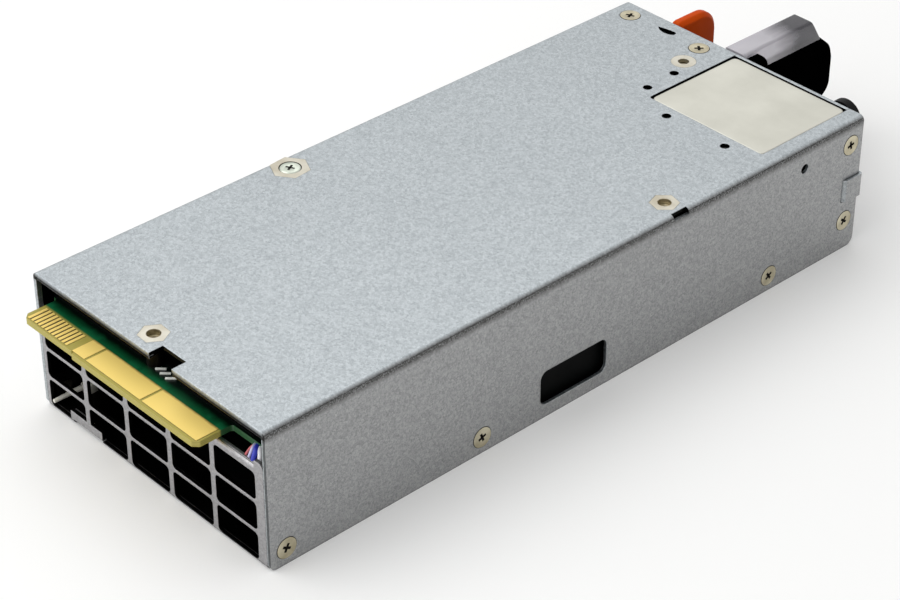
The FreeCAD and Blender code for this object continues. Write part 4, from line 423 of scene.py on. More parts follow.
@dataclass(frozen=True)
class Finish:
    """What all finishes share; each kind works out a surface of its own."""

    name: str
    # What a kind of finish keeps as it is, unless it has a field of its own for it.
    roughness = 0.4
    metallic = 0.0
    ior = 1.5
    gloss = 0.5
    transmission = 0.0
    # What the roughness gains where the wear is 0 and where it is 1.
    wear = (-0.08, 0.08)
    # Strength and height of the texture, and the radius that sharp edges are shaded with.
    bump = 0.5
    relief_mm = 0.01
    edge_mm = 0.0

    def surface(self, graph: Graph) -> Surface:
        """Work out the surface; each kind of finish has its own.

        Args:
            graph: Node tree of the material.

        Returns:
            Its lowest colour, the masks and colours of the coats over it, its wear and its height.
        """
        raise NotImplementedError

    def make(self) -> Material:
        """Build the material."""
        material = bpy.data.materials.new(self.name)
        material.use_nodes = True
        graph = Graph(material.node_tree)
        colour, coats, worn, height = self.surface(graph)
        for mask, coat in coats:
            colour = graph.add("Mix", {0: mask, 6: colour, 7: coat}, data_type="RGBA")
        rough = graph.add("MapRange", (worn, 0.0, 1.0, *(self.roughness + gain for gain in self.wear)))
        relief = {"Strength": self.bump, "Distance": self.relief_mm * MM, "Height": height}
        if self.edge_mm:
            relief["Normal"] = graph.add("Bevel", {"Radius": self.edge_mm * MM}, samples=EDGE_SAMPLES)
        shader = graph.add("BsdfPrincipled", {
            "Base Color": colour, "Metallic": self.metallic, "Roughness": rough, "IOR": self.ior,
            "Specular IOR Level": self.gloss, "Transmission Weight": self.transmission,
            "Normal": graph.add("Bump", relief)})
        graph.add("OutputMaterial", (shader,))
        return material

    def dress(self, *nodes: str) -> Material:
        """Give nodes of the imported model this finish.

        Args:
            nodes: Names of the nodes.

        Returns:
            The material they got.
        """
        material = self.make()
        for node in nodes:
            paint(frame["nodes"][node], material)
            LOG.info("%s: dressed in %s", node, material.name)
        return material


@dataclass(frozen=True)
class GalvanisedSheet(Finish):
    """Hot dip galvanised, skin passed steel: minimised zinc crystals that catch light unevenly.

    The hem at the roof's front is darkened towards its cut edge, and so are the punched walls, partly as bare
    cut steel and partly as painted shade; the grille's foot gets painted shade, and the joints a thin dark
    line of painted shade. Beside the folds the zinc is crazed and darkened further as a painted dark
    reflection, the walls are darkened as painted shade, and the inside of the case is painted black as shade.
    """

    light: str
    dark: str
    roughness: float = 0.42
    metallic: float = 1.0
    bump: float = 0.6
    relief_mm: float = 0.025
    edge_mm: float = 0.35
    cut_edge_and_shade: str = "121212"
    painted_inside_shade: str = "060606"
    crazing_and_dark_reflection: str = "3a3937"
    painted_wall_shade: str = "e2dcd9"
    crystal_mm: float = 0.6
    ragged_mm: float = 0.7
    grain_mm: float = 0.3
    patch_mm: float = 30.0
    joint_mm: float = 0.8
    edge_y: float = -99.9 * MM
    edge_z: float = 37.9 * MM
    fold_x: float = 42.0 * MM
    cut_x: float = 42.3 * MM
    wall_cut: float = 0.75
    hem_under: float = 36.95 * MM
    hem_low: float = 37.7 * MM
    hem_high: float = 38.9 * MM
    # Middle and half size of each box: the inside, painted black as shade, the roof's cut-outs and the
    # grille's.
    inside: Box = (mm(0.0, 0.0, 19.5), mm(42.05, 98.6, 18.6))
    roof_cuts: Box = (mm(0.0, 0.0, 38.0), mm(42.8, 99.85, 1.05))
    grille_cuts: Box = (mm(0.0, -99.46, 14.5), mm(41.3, 0.51, 13.4))
    # Box and strength of the areas darkened as painted shade: the grille's foot and the face of its key
    # pocket.
    painted_shade_areas: Sequence[tuple[Box, float]] = (
        ((mm(0.0, -99.3, 0.4), mm(42.0, 0.75, 0.78)), 0.7),
        ((mm(0.0, -101.3, 3.0), mm(42.0, 1.22, 4.0)), 0.4))

    def cut_edges_and_shade(self, graph: Graph) -> Node:
        """Mask the places where the sheet is dark: cut and punched edges, partly bare steel and partly
        painted shade, and painted shade on the grille's foot, its key pocket and the joints.

        Args:
            graph: Node tree of the material.

        Returns:
            The mask.
        """
        add = graph.add
        x, y, z = graph.axes
        # Front faces near the roof grow darker lower down, and the right wall's front edge is darker: bare
        # cut steel with painted shade.
        front = add("Math.LESS_THAN", (y, self.edge_y))
        above = add("Math.GREATER_THAN", (z, self.hem_under))
        shade = add("MapRange", (z, self.hem_low, self.hem_high, 1.0, 0.0))
        roof = add("Math.MULTIPLY", (above, shade))
        right = add("Math.GREATER_THAN", (x, self.cut_x))
        muted = add("Math.MULTIPLY", (right, self.wall_cut))
        edges = add("Math.MAXIMUM", (roof, muted))
        mask = add("Math.MULTIPLY", (front, edges))
        areas = []
        # Punched walls are darkened, partly bare steel and partly painted shade: upright ones in the roof,
        # those along Y in the grille.
        for axis, box in ((2, self.roof_cuts), (1, self.grille_cuts)):
            lean = add("Math.ABSOLUTE", (graph.facing[axis],))
            areas.append((add("Math.LESS_THAN", (lean, 0.5)), graph.inside(box)))
        areas += [(graph.inside(box), strength) for box, strength in self.painted_shade_areas]
        for area in areas:
            part = add("Math.MULTIPLY", area)
            mask = add("Math.MAXIMUM", (mask, part))
        # Painted shade: the sheet is darkened in joints and round heads, where nearby faces hide it.
        nook = add("AmbientOcclusion", {"Distance": self.joint_mm * MM}, samples=NOOK_SAMPLES)
        joint = add("MapRange", (nook.outputs["AO"], 0.3, 0.75, 0.85, 0.0))
        return add("Math.MAXIMUM", (mask, joint))

    def beside_folds(self, graph: Graph, grain: Node) -> Node:
        """Mask the outer millimetre beside each lengthwise fold, broken up by the grain.

        Args:
            graph: Node tree of the material.
            grain: The zinc's fine grain.

        Returns:
            The mask.
        """
        x, _, z = graph.axes
        across = graph.add("Math.ABSOLUTE", (x,))
        mask = graph.add("MapRange", (z, self.edge_z - 1.9 * MM, self.edge_z - 0.3 * MM))
        for limits in ((z, self.edge_z + 0.4 * MM, self.edge_z + 1.0 * MM, 1.0, 0.0),
                       (across, self.fold_x, self.fold_x + 0.6 * MM, 0.0, 0.9),
                       (grain, 0.36, 0.52)):
            mask = graph.add("Math.MULTIPLY", (mask, graph.add("MapRange", limits)))
        return mask

    def surface(self, graph: Graph) -> Surface:
        """Work out the zinc, with crystals that have ragged borders, and what covers it.

        Args:
            graph: Node tree of the material.

        Returns:
            Its colour, coats, wear and height.
        """
        add = graph.add
        warp = add("TexNoise", graph.pattern(self.crystal_mm * 1.6, Detail=2.0))
        jitter = add("VectorMath.SUBTRACT", (warp.outputs["Color"], (0.5,) * 3))
        moved = add("VectorMath.MULTIPLY_ADD", (jitter, (self.ragged_mm * MM,) * 3, graph.place))
        crystals = add("TexVoronoi", graph.pattern(self.crystal_mm, Vector=moved))
        tone, wear, rise = add("SeparateColor", (crystals.outputs["Color"],)).outputs
        grain = add("TexNoise", graph.pattern(self.grain_mm, Detail=2.0, Roughness=0.7))
        sharp = add("MapRange", (grain, 0.34, 0.66, 0.07, 0.52))
        patch = add("TexNoise", graph.pattern(self.patch_mm, Detail=2.0))
        fine = add("Math.MULTIPLY_ADD", (tone, 0.36, sharp))
        spread = add("Math.MULTIPLY_ADD", (patch, 0.1, fine), use_clamp=True)
        zinc = add("Mix", {0: spread, 6: self.dark, 7: self.light}, data_type="RGBA")
        # The walls are darkened by the way they face, as painted shade, so that they look darker than the
        # roof.
        walls = add("MapRange", (add("Math.ABSOLUTE", (graph.facing[0],)), 0.4, 0.9))
        zinc = add("Mix", {0: walls, 6: zinc, 7: self.painted_wall_shade}, data_type="RGBA", blend_type="MULTIPLY")
        # Beside the folds the zinc is crazed and darkened further as a painted dark reflection; the inside is
        # painted black as shade.
        coats = ((self.beside_folds(graph, grain), self.crazing_and_dark_reflection),
                 (self.cut_edges_and_shade(graph), self.cut_edge_and_shade),
                 (graph.inside(self.inside), self.painted_inside_shade))
        return zinc, coats, wear, add("Math.MULTIPLY_ADD", (rise, 0.5, grain))


@dataclass(frozen=True)
class PlatedMetal(Finish):
    """Nickel, tin or zinc plate: satin metal with faint smudges, its recesses darkened with oil and painted
    shade.
    """

    colour: str
    shade: str
    roughness: float = 0.3
    smudge_mm: float = 6.0
    edge_mm: float = 0.12
    recess_mm: float = 1.1
    shade_below: float = -1.0
    metallic: float = 1.0
    wear: tuple[float, float] = (0.08, -0.05)
    relief_mm: float = 0.004
    grain_mm: float = 0.3
    oil_and_shade: str = "26221c"

    def surface(self, graph: Graph) -> Surface:
        """Work out the smudged plate and the oil on it.

        Args:
            graph: Node tree of the material.

        Returns:
            Its colour, coats, wear and height.
        """
        add = graph.add
        smudge = add("TexNoise", graph.pattern(self.smudge_mm, Detail=4.0))
        # Recesses are darkened where nearby faces hide them: oil with painted shade.
        nook = add("AmbientOcclusion", {"Distance": self.recess_mm * MM}, samples=NOOK_SAMPLES)
        oil_and_shade_mask = add("MapRange", (nook.outputs["AO"], 0.35, 0.75, 0.9, 0.0))
        # Below a given height the plate is darkened as painted shade.
        under = add("Math.LESS_THAN", (graph.axes[2], self.shade_below))
        coats = ((add("MapRange", (smudge, 0.35, 0.65)), self.colour),
                 (add("Math.MAXIMUM", (oil_and_shade_mask, under)), self.oil_and_shade))
        return self.shade, coats, smudge, add("TexNoise", graph.pattern(self.grain_mm, Detail=2.0))


@dataclass(frozen=True)
class GoldPlate(Finish):
    """Hard gold over nickel on card edge pads: smooth, warm yellow, with painted shade at the rear edge."""

    name: str = "gold_plated_copper"
    colour: str = "ffe07c"
    edge: str = "7d5f25"
    roughness: float = 0.5
    metallic: float = 0.15
    wear: tuple[float, float] = (-0.06, 0.1)
    bump: float = 0.3
    relief_mm: float = 0.004
    wave_mm: float = 1.8
    wave_depth: float = 0.5 * MM
    rear_shade_from: float = -100.05 * MM
    rear_shade_to: float = -99.45 * MM
    wipe_mm: float = 0.35

    def surface(self, graph: Graph) -> Surface:
        """Work out the gold, its rear edge darkened as painted shade, and faint wipe marks along the way the
        pads slide in.

        Args:
            graph: Node tree of the material.

        Returns:
            Its colour, coats, wear and height.
        """
        add = graph.add
        wave = add("TexNoise", graph.pattern(self.wave_mm, Detail=2.0))
        ragged = add("Math.MULTIPLY_ADD", (wave, self.wave_depth, graph.axes[1]))
        # Painted shade: the pads' rear ends are darkened, with a ragged border, where they face the dark
        # opening under the roof.
        rear_shade = add("MapRange", (ragged, self.rear_shade_from, self.rear_shade_to, 0.0, 0.85))
        wipe = add("Mapping", {"Vector": graph.place, "Scale": (1.0, 0.06, 1.0)})
        marks = add("TexNoise", graph.pattern(self.wipe_mm, Vector=wipe, Detail=2.0))
        return self.colour, ((rear_shade, self.edge),), marks, marks


@dataclass(frozen=True)
class MaskedLaminate(Finish):
    """Glass epoxy board: glossy green solder mask, bare olive laminate at the card edge and rims."""

    mask: str = "0b5a33"
    trace: str = "177046"
    bare: str = "ab9f48"
    rim: str = "bcb058"
    rim_dark: str = "978b3c"
    rim_masked: str = "2c5a35"
    gap_shade: str = "40360f"
    painted_roof_shadow: str = "03110a"
    roughness: float = 0.55
    wear: tuple[float, float] = (0.0, -0.25)
    ior: float = 1.54
    bump: float = 0.4
    relief_mm: float = 0.012
    joint_mm: float = 0.35
    track_mm: float = 3.6
    layer_mm: float = 1.3
    weave_mm: float = 0.6
    border_mm: float = 2.5
    border_depth: float = 1.6 * MM
    mask_from: float = -100.1 * MM
    mask_to: float = -99.5 * MM
    roof_shadow_from: float = -98.2 * MM
    roof_shadow_to: float = -96.0 * MM
    # Middle and half size of the area with the narrow contacts, darkened between them as painted shade.
    fingers: Box = (mm(-30.25, -103.05, 31.0), mm(7.55, 2.7, 0.2))

    def surface(self, graph: Graph) -> Surface:
        """Work out the masked faces, the cut rims and the painted shade in the gaps.

        Args:
            graph: Node tree of the material.

        Returns:
            Its colour, coats, wear and height.
        """
        add = graph.add
        # Copper tracks under the mask, seen as slightly lighter blocks.
        tracks = add("TexVoronoi", graph.pattern(self.track_mm, Randomness=0.75), distance="CHEBYCHEV")
        shade = add("SeparateColor", (tracks.outputs["Color"],))
        step = add("MapRange", (shade, 0.5, 0.56, 0.0, 0.6))
        green = add("Mix", {0: step, 6: self.mask, 7: self.trace}, data_type="RGBA")
        # The mask is darkened nearly black over the inner part of the board, with a ragged border: a painted
        # shadow of the roof.
        border = add("TexNoise", graph.pattern(self.border_mm, Detail=3.0))
        ragged = add("Math.MULTIPLY_ADD", (border, self.border_depth, graph.axes[1]))
        smoke = add("MapRange", (ragged, self.roof_shadow_from, self.roof_shadow_to))
        green = add("Mix", {0: smoke, 6: green, 7: self.painted_roof_shadow}, data_type="RGBA")
        masked = add("MapRange", (graph.axes[1], self.mask_from, self.mask_to))
        face = add("Mix", {0: masked, 6: self.bare, 7: green}, data_type="RGBA")
        # The glass cloth's layers are drawn coarser than they are on the cut rim, so that they show.
        layers = add("TexWave", graph.pattern(self.layer_mm, Distortion=1.0), wave_type="BANDS",
                     bands_direction="Z")
        facing = add("SeparateXYZ", (add("NewGeometry").outputs["Normal"],)).outputs
        flat = add("Math.ABSOLUTE", (facing[2],))
        is_face = add("Math.GREATER_THAN", (flat, 0.8))
        # Painted shade darkens the gaps between the narrow contacts and round the pads.
        nook = add("AmbientOcclusion", {"Distance": self.joint_mm * MM}, samples=NOOK_SAMPLES)
        gap = add("MapRange", (nook.outputs["AO"], 0.76, 0.97, 0.95, 0.0))
        open_gap = add("Math.SUBTRACT", (gap, masked), use_clamp=True)
        gap_shade = add("Math.MAXIMUM", (open_gap, graph.inside(self.fingers)))
        coats = ((layers.outputs["Fac"], self.rim), (masked, self.rim_masked), (is_face, face),
                 (gap_shade, self.gap_shade))
        return self.rim_dark, coats, masked, add("TexNoise", graph.pattern(self.weave_mm, Detail=2.0))


@dataclass(frozen=True)
class MouldedPlastic(Finish):
    """Injection moulded plastic: even colour with a fine spark eroded texture and a satin skin."""

    colour: str
    worn: str
    roughness: float = 0.45
    grain_mm: float = 0.25
    relief_mm: float = 0.01
    edge_mm: float = 0.25
    gloss: float = 0.5
    wear: tuple[float, float] = (0.08, -0.08)
    flow_mm: float = 9.0

    def surface(self, graph: Graph) -> Surface:
        """Work out the flow of the colour and the texture.

        Args:
            graph: Node tree of the material.

        Returns:
            Its colour, coats, wear and height.
        """
        flow = graph.add("TexNoise", graph.pattern(self.flow_mm, Detail=3.0))
        spread = graph.add("MapRange", (flow, 0.4, 0.8, 0.0, 0.6))
        grain = graph.add("TexNoise", graph.pattern(self.grain_mm, Detail=3.0))
        return self.colour, ((spread, self.worn),), flow, grain


@dataclass(frozen=True)
class ClearPlastic(Finish):
    """Moulded clear plastic with a tint that deepens along it, and faint flow lines inside."""

    tint: str
    deep: str
    clear_y: float
    deep_y: float
    roughness: float = 0.14
    transmission: float = 0.6
    ior: float = 1.58
    wear: tuple[float, float] = (0.0, 0.12)
    bump: float = 0.3
    relief_mm: float = 0.05
    flow_mm: float = 3.0
    flow_depth: float = 9.0 * MM

    def surface(self, graph: Graph) -> Surface:
        """Work out the tint and the flow lines.

        Args:
            graph: Node tree of the material.

        Returns:
            Its colour, coats, wear and height.
        """
        add = graph.add
        stretch = add("Mapping", {"Vector": graph.place, "Scale": (1.0, 0.25, 1.0)})
        flow = add("TexNoise", graph.pattern(self.flow_mm, Vector=stretch, Detail=2.0))
        haze = add("Math.MULTIPLY_ADD", (flow, self.flow_depth, graph.axes[1]))
        middle = self.flow_depth / 2
        depth = add("MapRange", (haze, self.clear_y + middle, self.deep_y + middle))
        return self.tint, ((depth, self.deep),), flow, flow


@dataclass(frozen=True)
class StreakedFinish(Finish):
    """A surface with fine parallel lines: drawn wire, windings, tape edges or extruded fins."""

    colour: str
    shade: str
    pitch_mm: float
    direction: str
    metallic: float = 0.0
    roughness: float = 0.4
    relief_mm: float = 0.05
    wear: tuple[float, float] = (-0.06, 0.1)
    bump: float = 0.6
    mottle_mm: float = 4.0

    def surface(self, graph: Graph) -> Surface:
        """Work out the lines and the mottled colour.

        Args:
            graph: Node tree of the material.

        Returns:
            Its colour, coats, wear and height.
        """
        # A wave whose size is s repeats every s * pi / 10.
        size = self.pitch_mm * 10 / math.pi
        lines = graph.add("TexWave", graph.pattern(size, Distortion=0.6, Detail=1.0), wave_type="BANDS",
                          bands_direction=self.direction).outputs["Fac"]
        mottle = graph.add("TexNoise", graph.pattern(self.mottle_mm, Detail=3.0))
        blend = graph.add("Math.MULTIPLY_ADD", (lines, 0.6, mottle), use_clamp=True)
        return self.shade, ((blend, self.colour),), mottle, lines


@dataclass(frozen=True)
class BandedFinish(Finish):
    """One part in three colours along an axis, such as capped fuses or a row of leads."""

    low: str
    middle: str
    high: str
    axis: int
    first: float
    second: float
    roughness: float = 0.35
    bump: float = 0.3
    grain_mm: float = 0.8

    def surface(self, graph: Graph) -> Surface:
        """Work out the three bands.

        Args:
            graph: Node tree of the material.

        Returns:
            Its colour, coats, wear and height.
        """
        coats = [(graph.add("Math.GREATER_THAN", (graph.axes[self.axis], border)), colour)
                 for border, colour in ((self.first, self.middle), (self.second, self.high))]
        grain = graph.add("TexNoise", graph.pattern(self.grain_mm, Detail=2.0))
        return self.low, coats, grain, grain


# --- screws


@dataclass
class Screw:
    """Screw with a cross recess for a driver, tapered to its tip, and its head's top at the origin."""

    plate: Material
    oil_and_shade: Material
    arm: float = 1.75 * MM
    arm_width: float = 1.02 * MM
    depth: float = 0.95 * MM
    taper: float = 0.42

    def recess(self) -> Object:
        """Model the cutter of the recess, as far above the head's top as below it."""
        cutter = new_mesh("cube", "recess_cutter", (0, 0, 0),
                          (self.arm_width, self.arm_width, self.depth * 2), size=1.0)
        reach = self.arm - self.arm_width / 2
        for axis in (Vector((1, 0, 0)), Vector((-1, 0, 0)), BACK, -BACK):
            with editing(cutter):
                pick_faces(cutter, lambda centre, normal: normal.dot(axis) > ALONG
                           and abs(centre.cross(axis).z) < self.arm_width * 0.1)
                extrude(axis * reach)
        with editing(cutter):
            pick_side(cutter, DOWN)
            resize(self.taper, self.taper, 1.0)
        return cutter

    def complete(self, screw: Object, rim: float) -> Object:
        """Cut the recess, round the screw's edges, plate it and darken its recess and sides with oil and
        painted shade.

        Args:
            screw: Mesh of the screw.
            rim: Radius beyond which the head's edge is darkened too, as painted shade in the gap round the
                head.

        Returns:
            The same screw.
        """
        cut_with(screw, self.recess())
        soften(screw, 0.05, 2, 30.0)
        for material in (self.plate, self.oil_and_shade):
            screw.data.materials.append(material)
        with editing(screw):
            pick_faces(screw, lambda centre, normal: normal.z < 0.3 or centre.xy.length > rim or (
                -self.depth * 1.1 < centre.z < -0.06 * MM and centre.xy.length < self.arm))
            screw.active_material_index = 1
            bpy.ops.object.material_slot_assign()
        return screw


@dataclass
class CountersunkScrew(Screw):
    """Countersunk machine screw with a crowned head."""

    head_radius: float = 2.9 * MM
    rim: float = 0.13 * MM
    neck_radius: float = 1.4 * MM
    head_height: float = 1.0 * MM
    length: float = 2.4 * MM
    crown: float = 0.03 * MM
    crown_inset: float = 0.28 * MM

    def model(self) -> Object:
        """Model the screw as a closed mesh."""
        screw = new_mesh("cone", "countersunk_screw", (0, 0, -self.head_height / 2), vertices=40,
                         radius1=self.neck_radius, radius2=self.head_radius, depth=self.head_height)
        with editing(screw):
            pick_side(screw, DOWN)
            extrude(DOWN * (self.length - self.head_height))
        with editing(screw):
            pick_side(screw, UP)
            bpy.ops.mesh.inset(thickness=self.rim)
            bpy.ops.transform.translate(value=UP * self.crown)
            bpy.ops.mesh.inset(thickness=self.crown_inset)
        return self.complete(screw, self.head_radius - self.rim * 0.8)


@dataclass
class PanScrew(Screw):
    """Low pan head screw, seated in a counterbored standoff."""

    arm: float = 1.6 * MM
    arm_width: float = 0.8 * MM
    depth: float = 0.5 * MM
    taper: float = 0.6
    head_radius: float = 2.8 * MM
    head_height: float = 0.58 * MM
    rim: float = 0.35 * MM
    rim_drop: float = 0.22 * MM
    shank_radius: float = 1.2 * MM
    shank_length: float = 2.35 * MM

    def model(self) -> Object:
        """Model the screw as a closed mesh."""
        screw = new_mesh("cylinder", "standoff_pan_screw", (0, 0, -self.head_height / 2), vertices=40,
                         radius=self.head_radius, depth=self.head_height)
        with editing(screw):
            pick_side(screw, UP)
            bpy.ops.mesh.inset(thickness=self.rim)
            extrude(Vector())
        with editing(screw, "VERT"):
            pick_points(screw, lambda point: point.z > -0.01 * MM
                        and point.xy.length > self.head_radius * 0.97)
            bpy.ops.transform.translate(value=DOWN * self.rim_drop)
        with editing(screw):
            pick_side(screw, DOWN)
            bpy.ops.mesh.inset(thickness=self.head_radius - self.shank_radius)
            extrude(DOWN * self.shank_length)
        return self.complete(screw, self.head_radius)


@dataclass
class ThreadedBore:
    """Tapped bore of an insert: wide mouth, turned shelf and the first turns of its thread."""

    mouth_radius: float = 1.78 * MM
    mouth_depth: float = 1.4 * MM
    wall: float = 0.07 * MM
    bore_radius: float = 1.2 * MM
    sleeve_wall: float = 0.02 * MM
    pitch: float = 0.5 * MM
    turns: int = 4
    thread_depth: float = 0.16 * MM

    def model(self) -> Object:
        """Model the bore's lining, a closed mesh with its mouth at the origin.

        Returns:
            The lining, whose floor is the end of the screw from below.
        """
        lining = new_mesh("cylinder", "threaded_bore", (0, 0, -self.mouth_depth / 2), vertices=32,
                          radius=self.mouth_radius, depth=self.mouth_depth)
        with editing(lining):
            pick_side(lining, DOWN)
            bpy.ops.mesh.inset(thickness=self.mouth_radius - self.bore_radius - self.sleeve_wall)
            extrude(DOWN * (self.turns + 0.5) * self.pitch)
        with editing(lining):
            pick_side(lining, UP)
            bpy.ops.mesh.inset(thickness=self.wall)
            extrude(DOWN * (self.mouth_depth - self.wall))
            bpy.ops.mesh.inset(thickness=self.mouth_radius - self.bore_radius)
            crest = 1.0 - self.thread_depth / (self.bore_radius - self.wall)
            for half in range(2 * self.turns):
                scale = crest if half % 2 == 0 else 1.0 / crest
                extrude(DOWN * self.pitch / 2)
                resize(scale, scale, 1.0)
        bpy.ops.object.shade_smooth_by_angle(angle=math.radians(SMOOTH_ANGLE))
        return lining


@dataclass
class Fasteners:
    """Screws and bores that show: ten screws in the side walls, two in the top, one in a standoff."""

    wall: float = 42.98 * MM
    roof: float = 38.98 * MM
    # Y, Z and turn in degrees of the side screws; X, Y and turn of those in the top.
    side_places: Sequence[Placing] = (
        (-95.1 * MM, 4.5 * MM, 62.0), (-35.1 * MM, 4.5 * MM, 20.0), (66.4 * MM, 4.5 * MM, 35.0),
        (95.6 * MM, 8.8 * MM, 55.0), (95.6 * MM, 31.9 * MM, 12.0))
    top_places: Sequence[Placing] = ((-36.2 * MM, 94.8 * MM, 20.0), (-10.6 * MM, 95.0 * MM, 48.0))
    standoff_top: float = 39.08 * MM
    standoff_turn: float = 28.0
    open_bores: Sequence[Placing] = (FRONT_STANDOFF, RIGHT_STANDOFF, ROUND_INSERT)
    plated: PlatedMetal = PlatedMetal("nickel_plated_steel", "d3ccb4", "aaa187", 0.34)
    bright: PlatedMetal = PlatedMetal("bright_zinc_steel", "d6dccf", "bcc3b6", 0.3)
    # Dark finish of the screws' recesses, sides and edges: oil with painted shade.
    oil_and_shade: MouldedPlastic = MouldedPlastic("oil_and_recess_shade", "15120e", "221d16", 0.5, 0.3, 0.01, 0.02, gloss=0.2)
    tapped: PlatedMetal = PlatedMetal("tapped_zinc_steel", "cbc1a8", "a0977d", 0.4, 1.5, 0.05, recess_mm=0.3)

    def build(self) -> None:
        """Model the screws and bores and set each one in its hole."""
        plated, bright, oil_and_shade = self.plated.make(), self.bright.make(), self.oil_and_shade.make()
        screw = CountersunkScrew(plated, oil_and_shade).model()
        sides = [(side, facing, place) for side, facing in ((1, Facing.RIGHT), (-1, Facing.LEFT))
                 for place in self.side_places]
        for index, (side, facing, (y, z, turn)) in enumerate(sides, 1):
            piece = placed_copy(screw, f"side_screw_{index}", (side * self.wall, y, z), facing, turn)
            finish_piece(piece, Body.CASE, "nickel_screw", None, "side_screws")
        for index, (x, y, turn) in enumerate(self.top_places, 1):
            piece = placed_copy(screw, f"top_screw_{index}", (x, y, self.roof), turn=turn)
            finish_piece(piece, Body.CASE, "nickel_screw", None, "top_screws")
        pan = PanScrew(bright, oil_and_shade).model()
        place = (*SCREWED_STANDOFF, self.standoff_top)
        piece = placed_copy(pan, "standoff_pan_head", place, turn=self.standoff_turn)
        finish_piece(piece, Body.CASE, "nickel_screw", None, "standoff_screw")
        bore = ThreadedBore().model()
        tapped = self.tapped.make()
        for index, (x, y) in enumerate(self.open_bores, 1):
            piece = placed_copy(bore, f"threaded_bore_{index}", (x, y, self.roof))
            finish_piece(piece, Body.CASE, "clinch_steel", tapped)
        for template in (screw, pan, bore):
            bpy.data.objects.remove(template, do_unlink=True)


# --- housing


@dataclass
class Housing:
    """Folded steel case, grille and rear panel, with their inserts."""

    sheet: GalvanisedSheet = GalvanisedSheet("galvanised_steel_sheet", "cdd3d6", "8a9094")
    cover: GalvanisedSheet = GalvanisedSheet("galvanised_cover_sheet", "b8b7b9", "8c8b8d", roughness=0.45)
    # The inserts are darkened below the roof's underside as painted shade.
    insert: PlatedMetal = PlatedMetal("zinc_plated_insert", "d3cfc2", "bdb6a4", 0.38, shade_below=37.9 * MM)

    # X range of each length of the hem, left and right of the notch.
    hem_spans: Sequence[Placing] = (mm(-41.9, 2.0), mm(10.5, 41.9))
    hem_front: float = -99.98 * MM
    hem_depth: float = 3.0 * MM
    hem_top: float = 37.98 * MM
    hem_thickness: float = 1.0 * MM
    hem_taper: float = 0.6

    def hem(self, steel: Material) -> None:
        """Model the hem, the roof's front edge folded back under itself.

        Args:
            steel: Finish of the sheet.
        """
        for index, (left, right) in enumerate(self.hem_spans, 1):
            middle = ((left + right) / 2, self.hem_front + self.hem_depth / 2,
                      self.hem_top - self.hem_thickness / 2)
            hem = new_mesh("cube", f"roof_hem_{index}", middle,
                           (right - left, self.hem_depth, self.hem_thickness), size=1.0)
            with editing(hem):
                pick_side(hem, BACK)
                resize(1.0, 1.0, self.hem_taper, (0.0, 0.0, self.hem_top))
            soften(hem, 0.3, 3)
            finish_piece(hem, Body.CASE, "galvanised_sheet", steel)

    def build(self) -> None:
        """Dress the sheet metal and its inserts."""
        self.hem(self.sheet.dress("chassis", "rear_panel"))
        self.cover.dress("base_cover")
        self.insert.dress("hex_standoffs", "round_insert")


# --- card edge


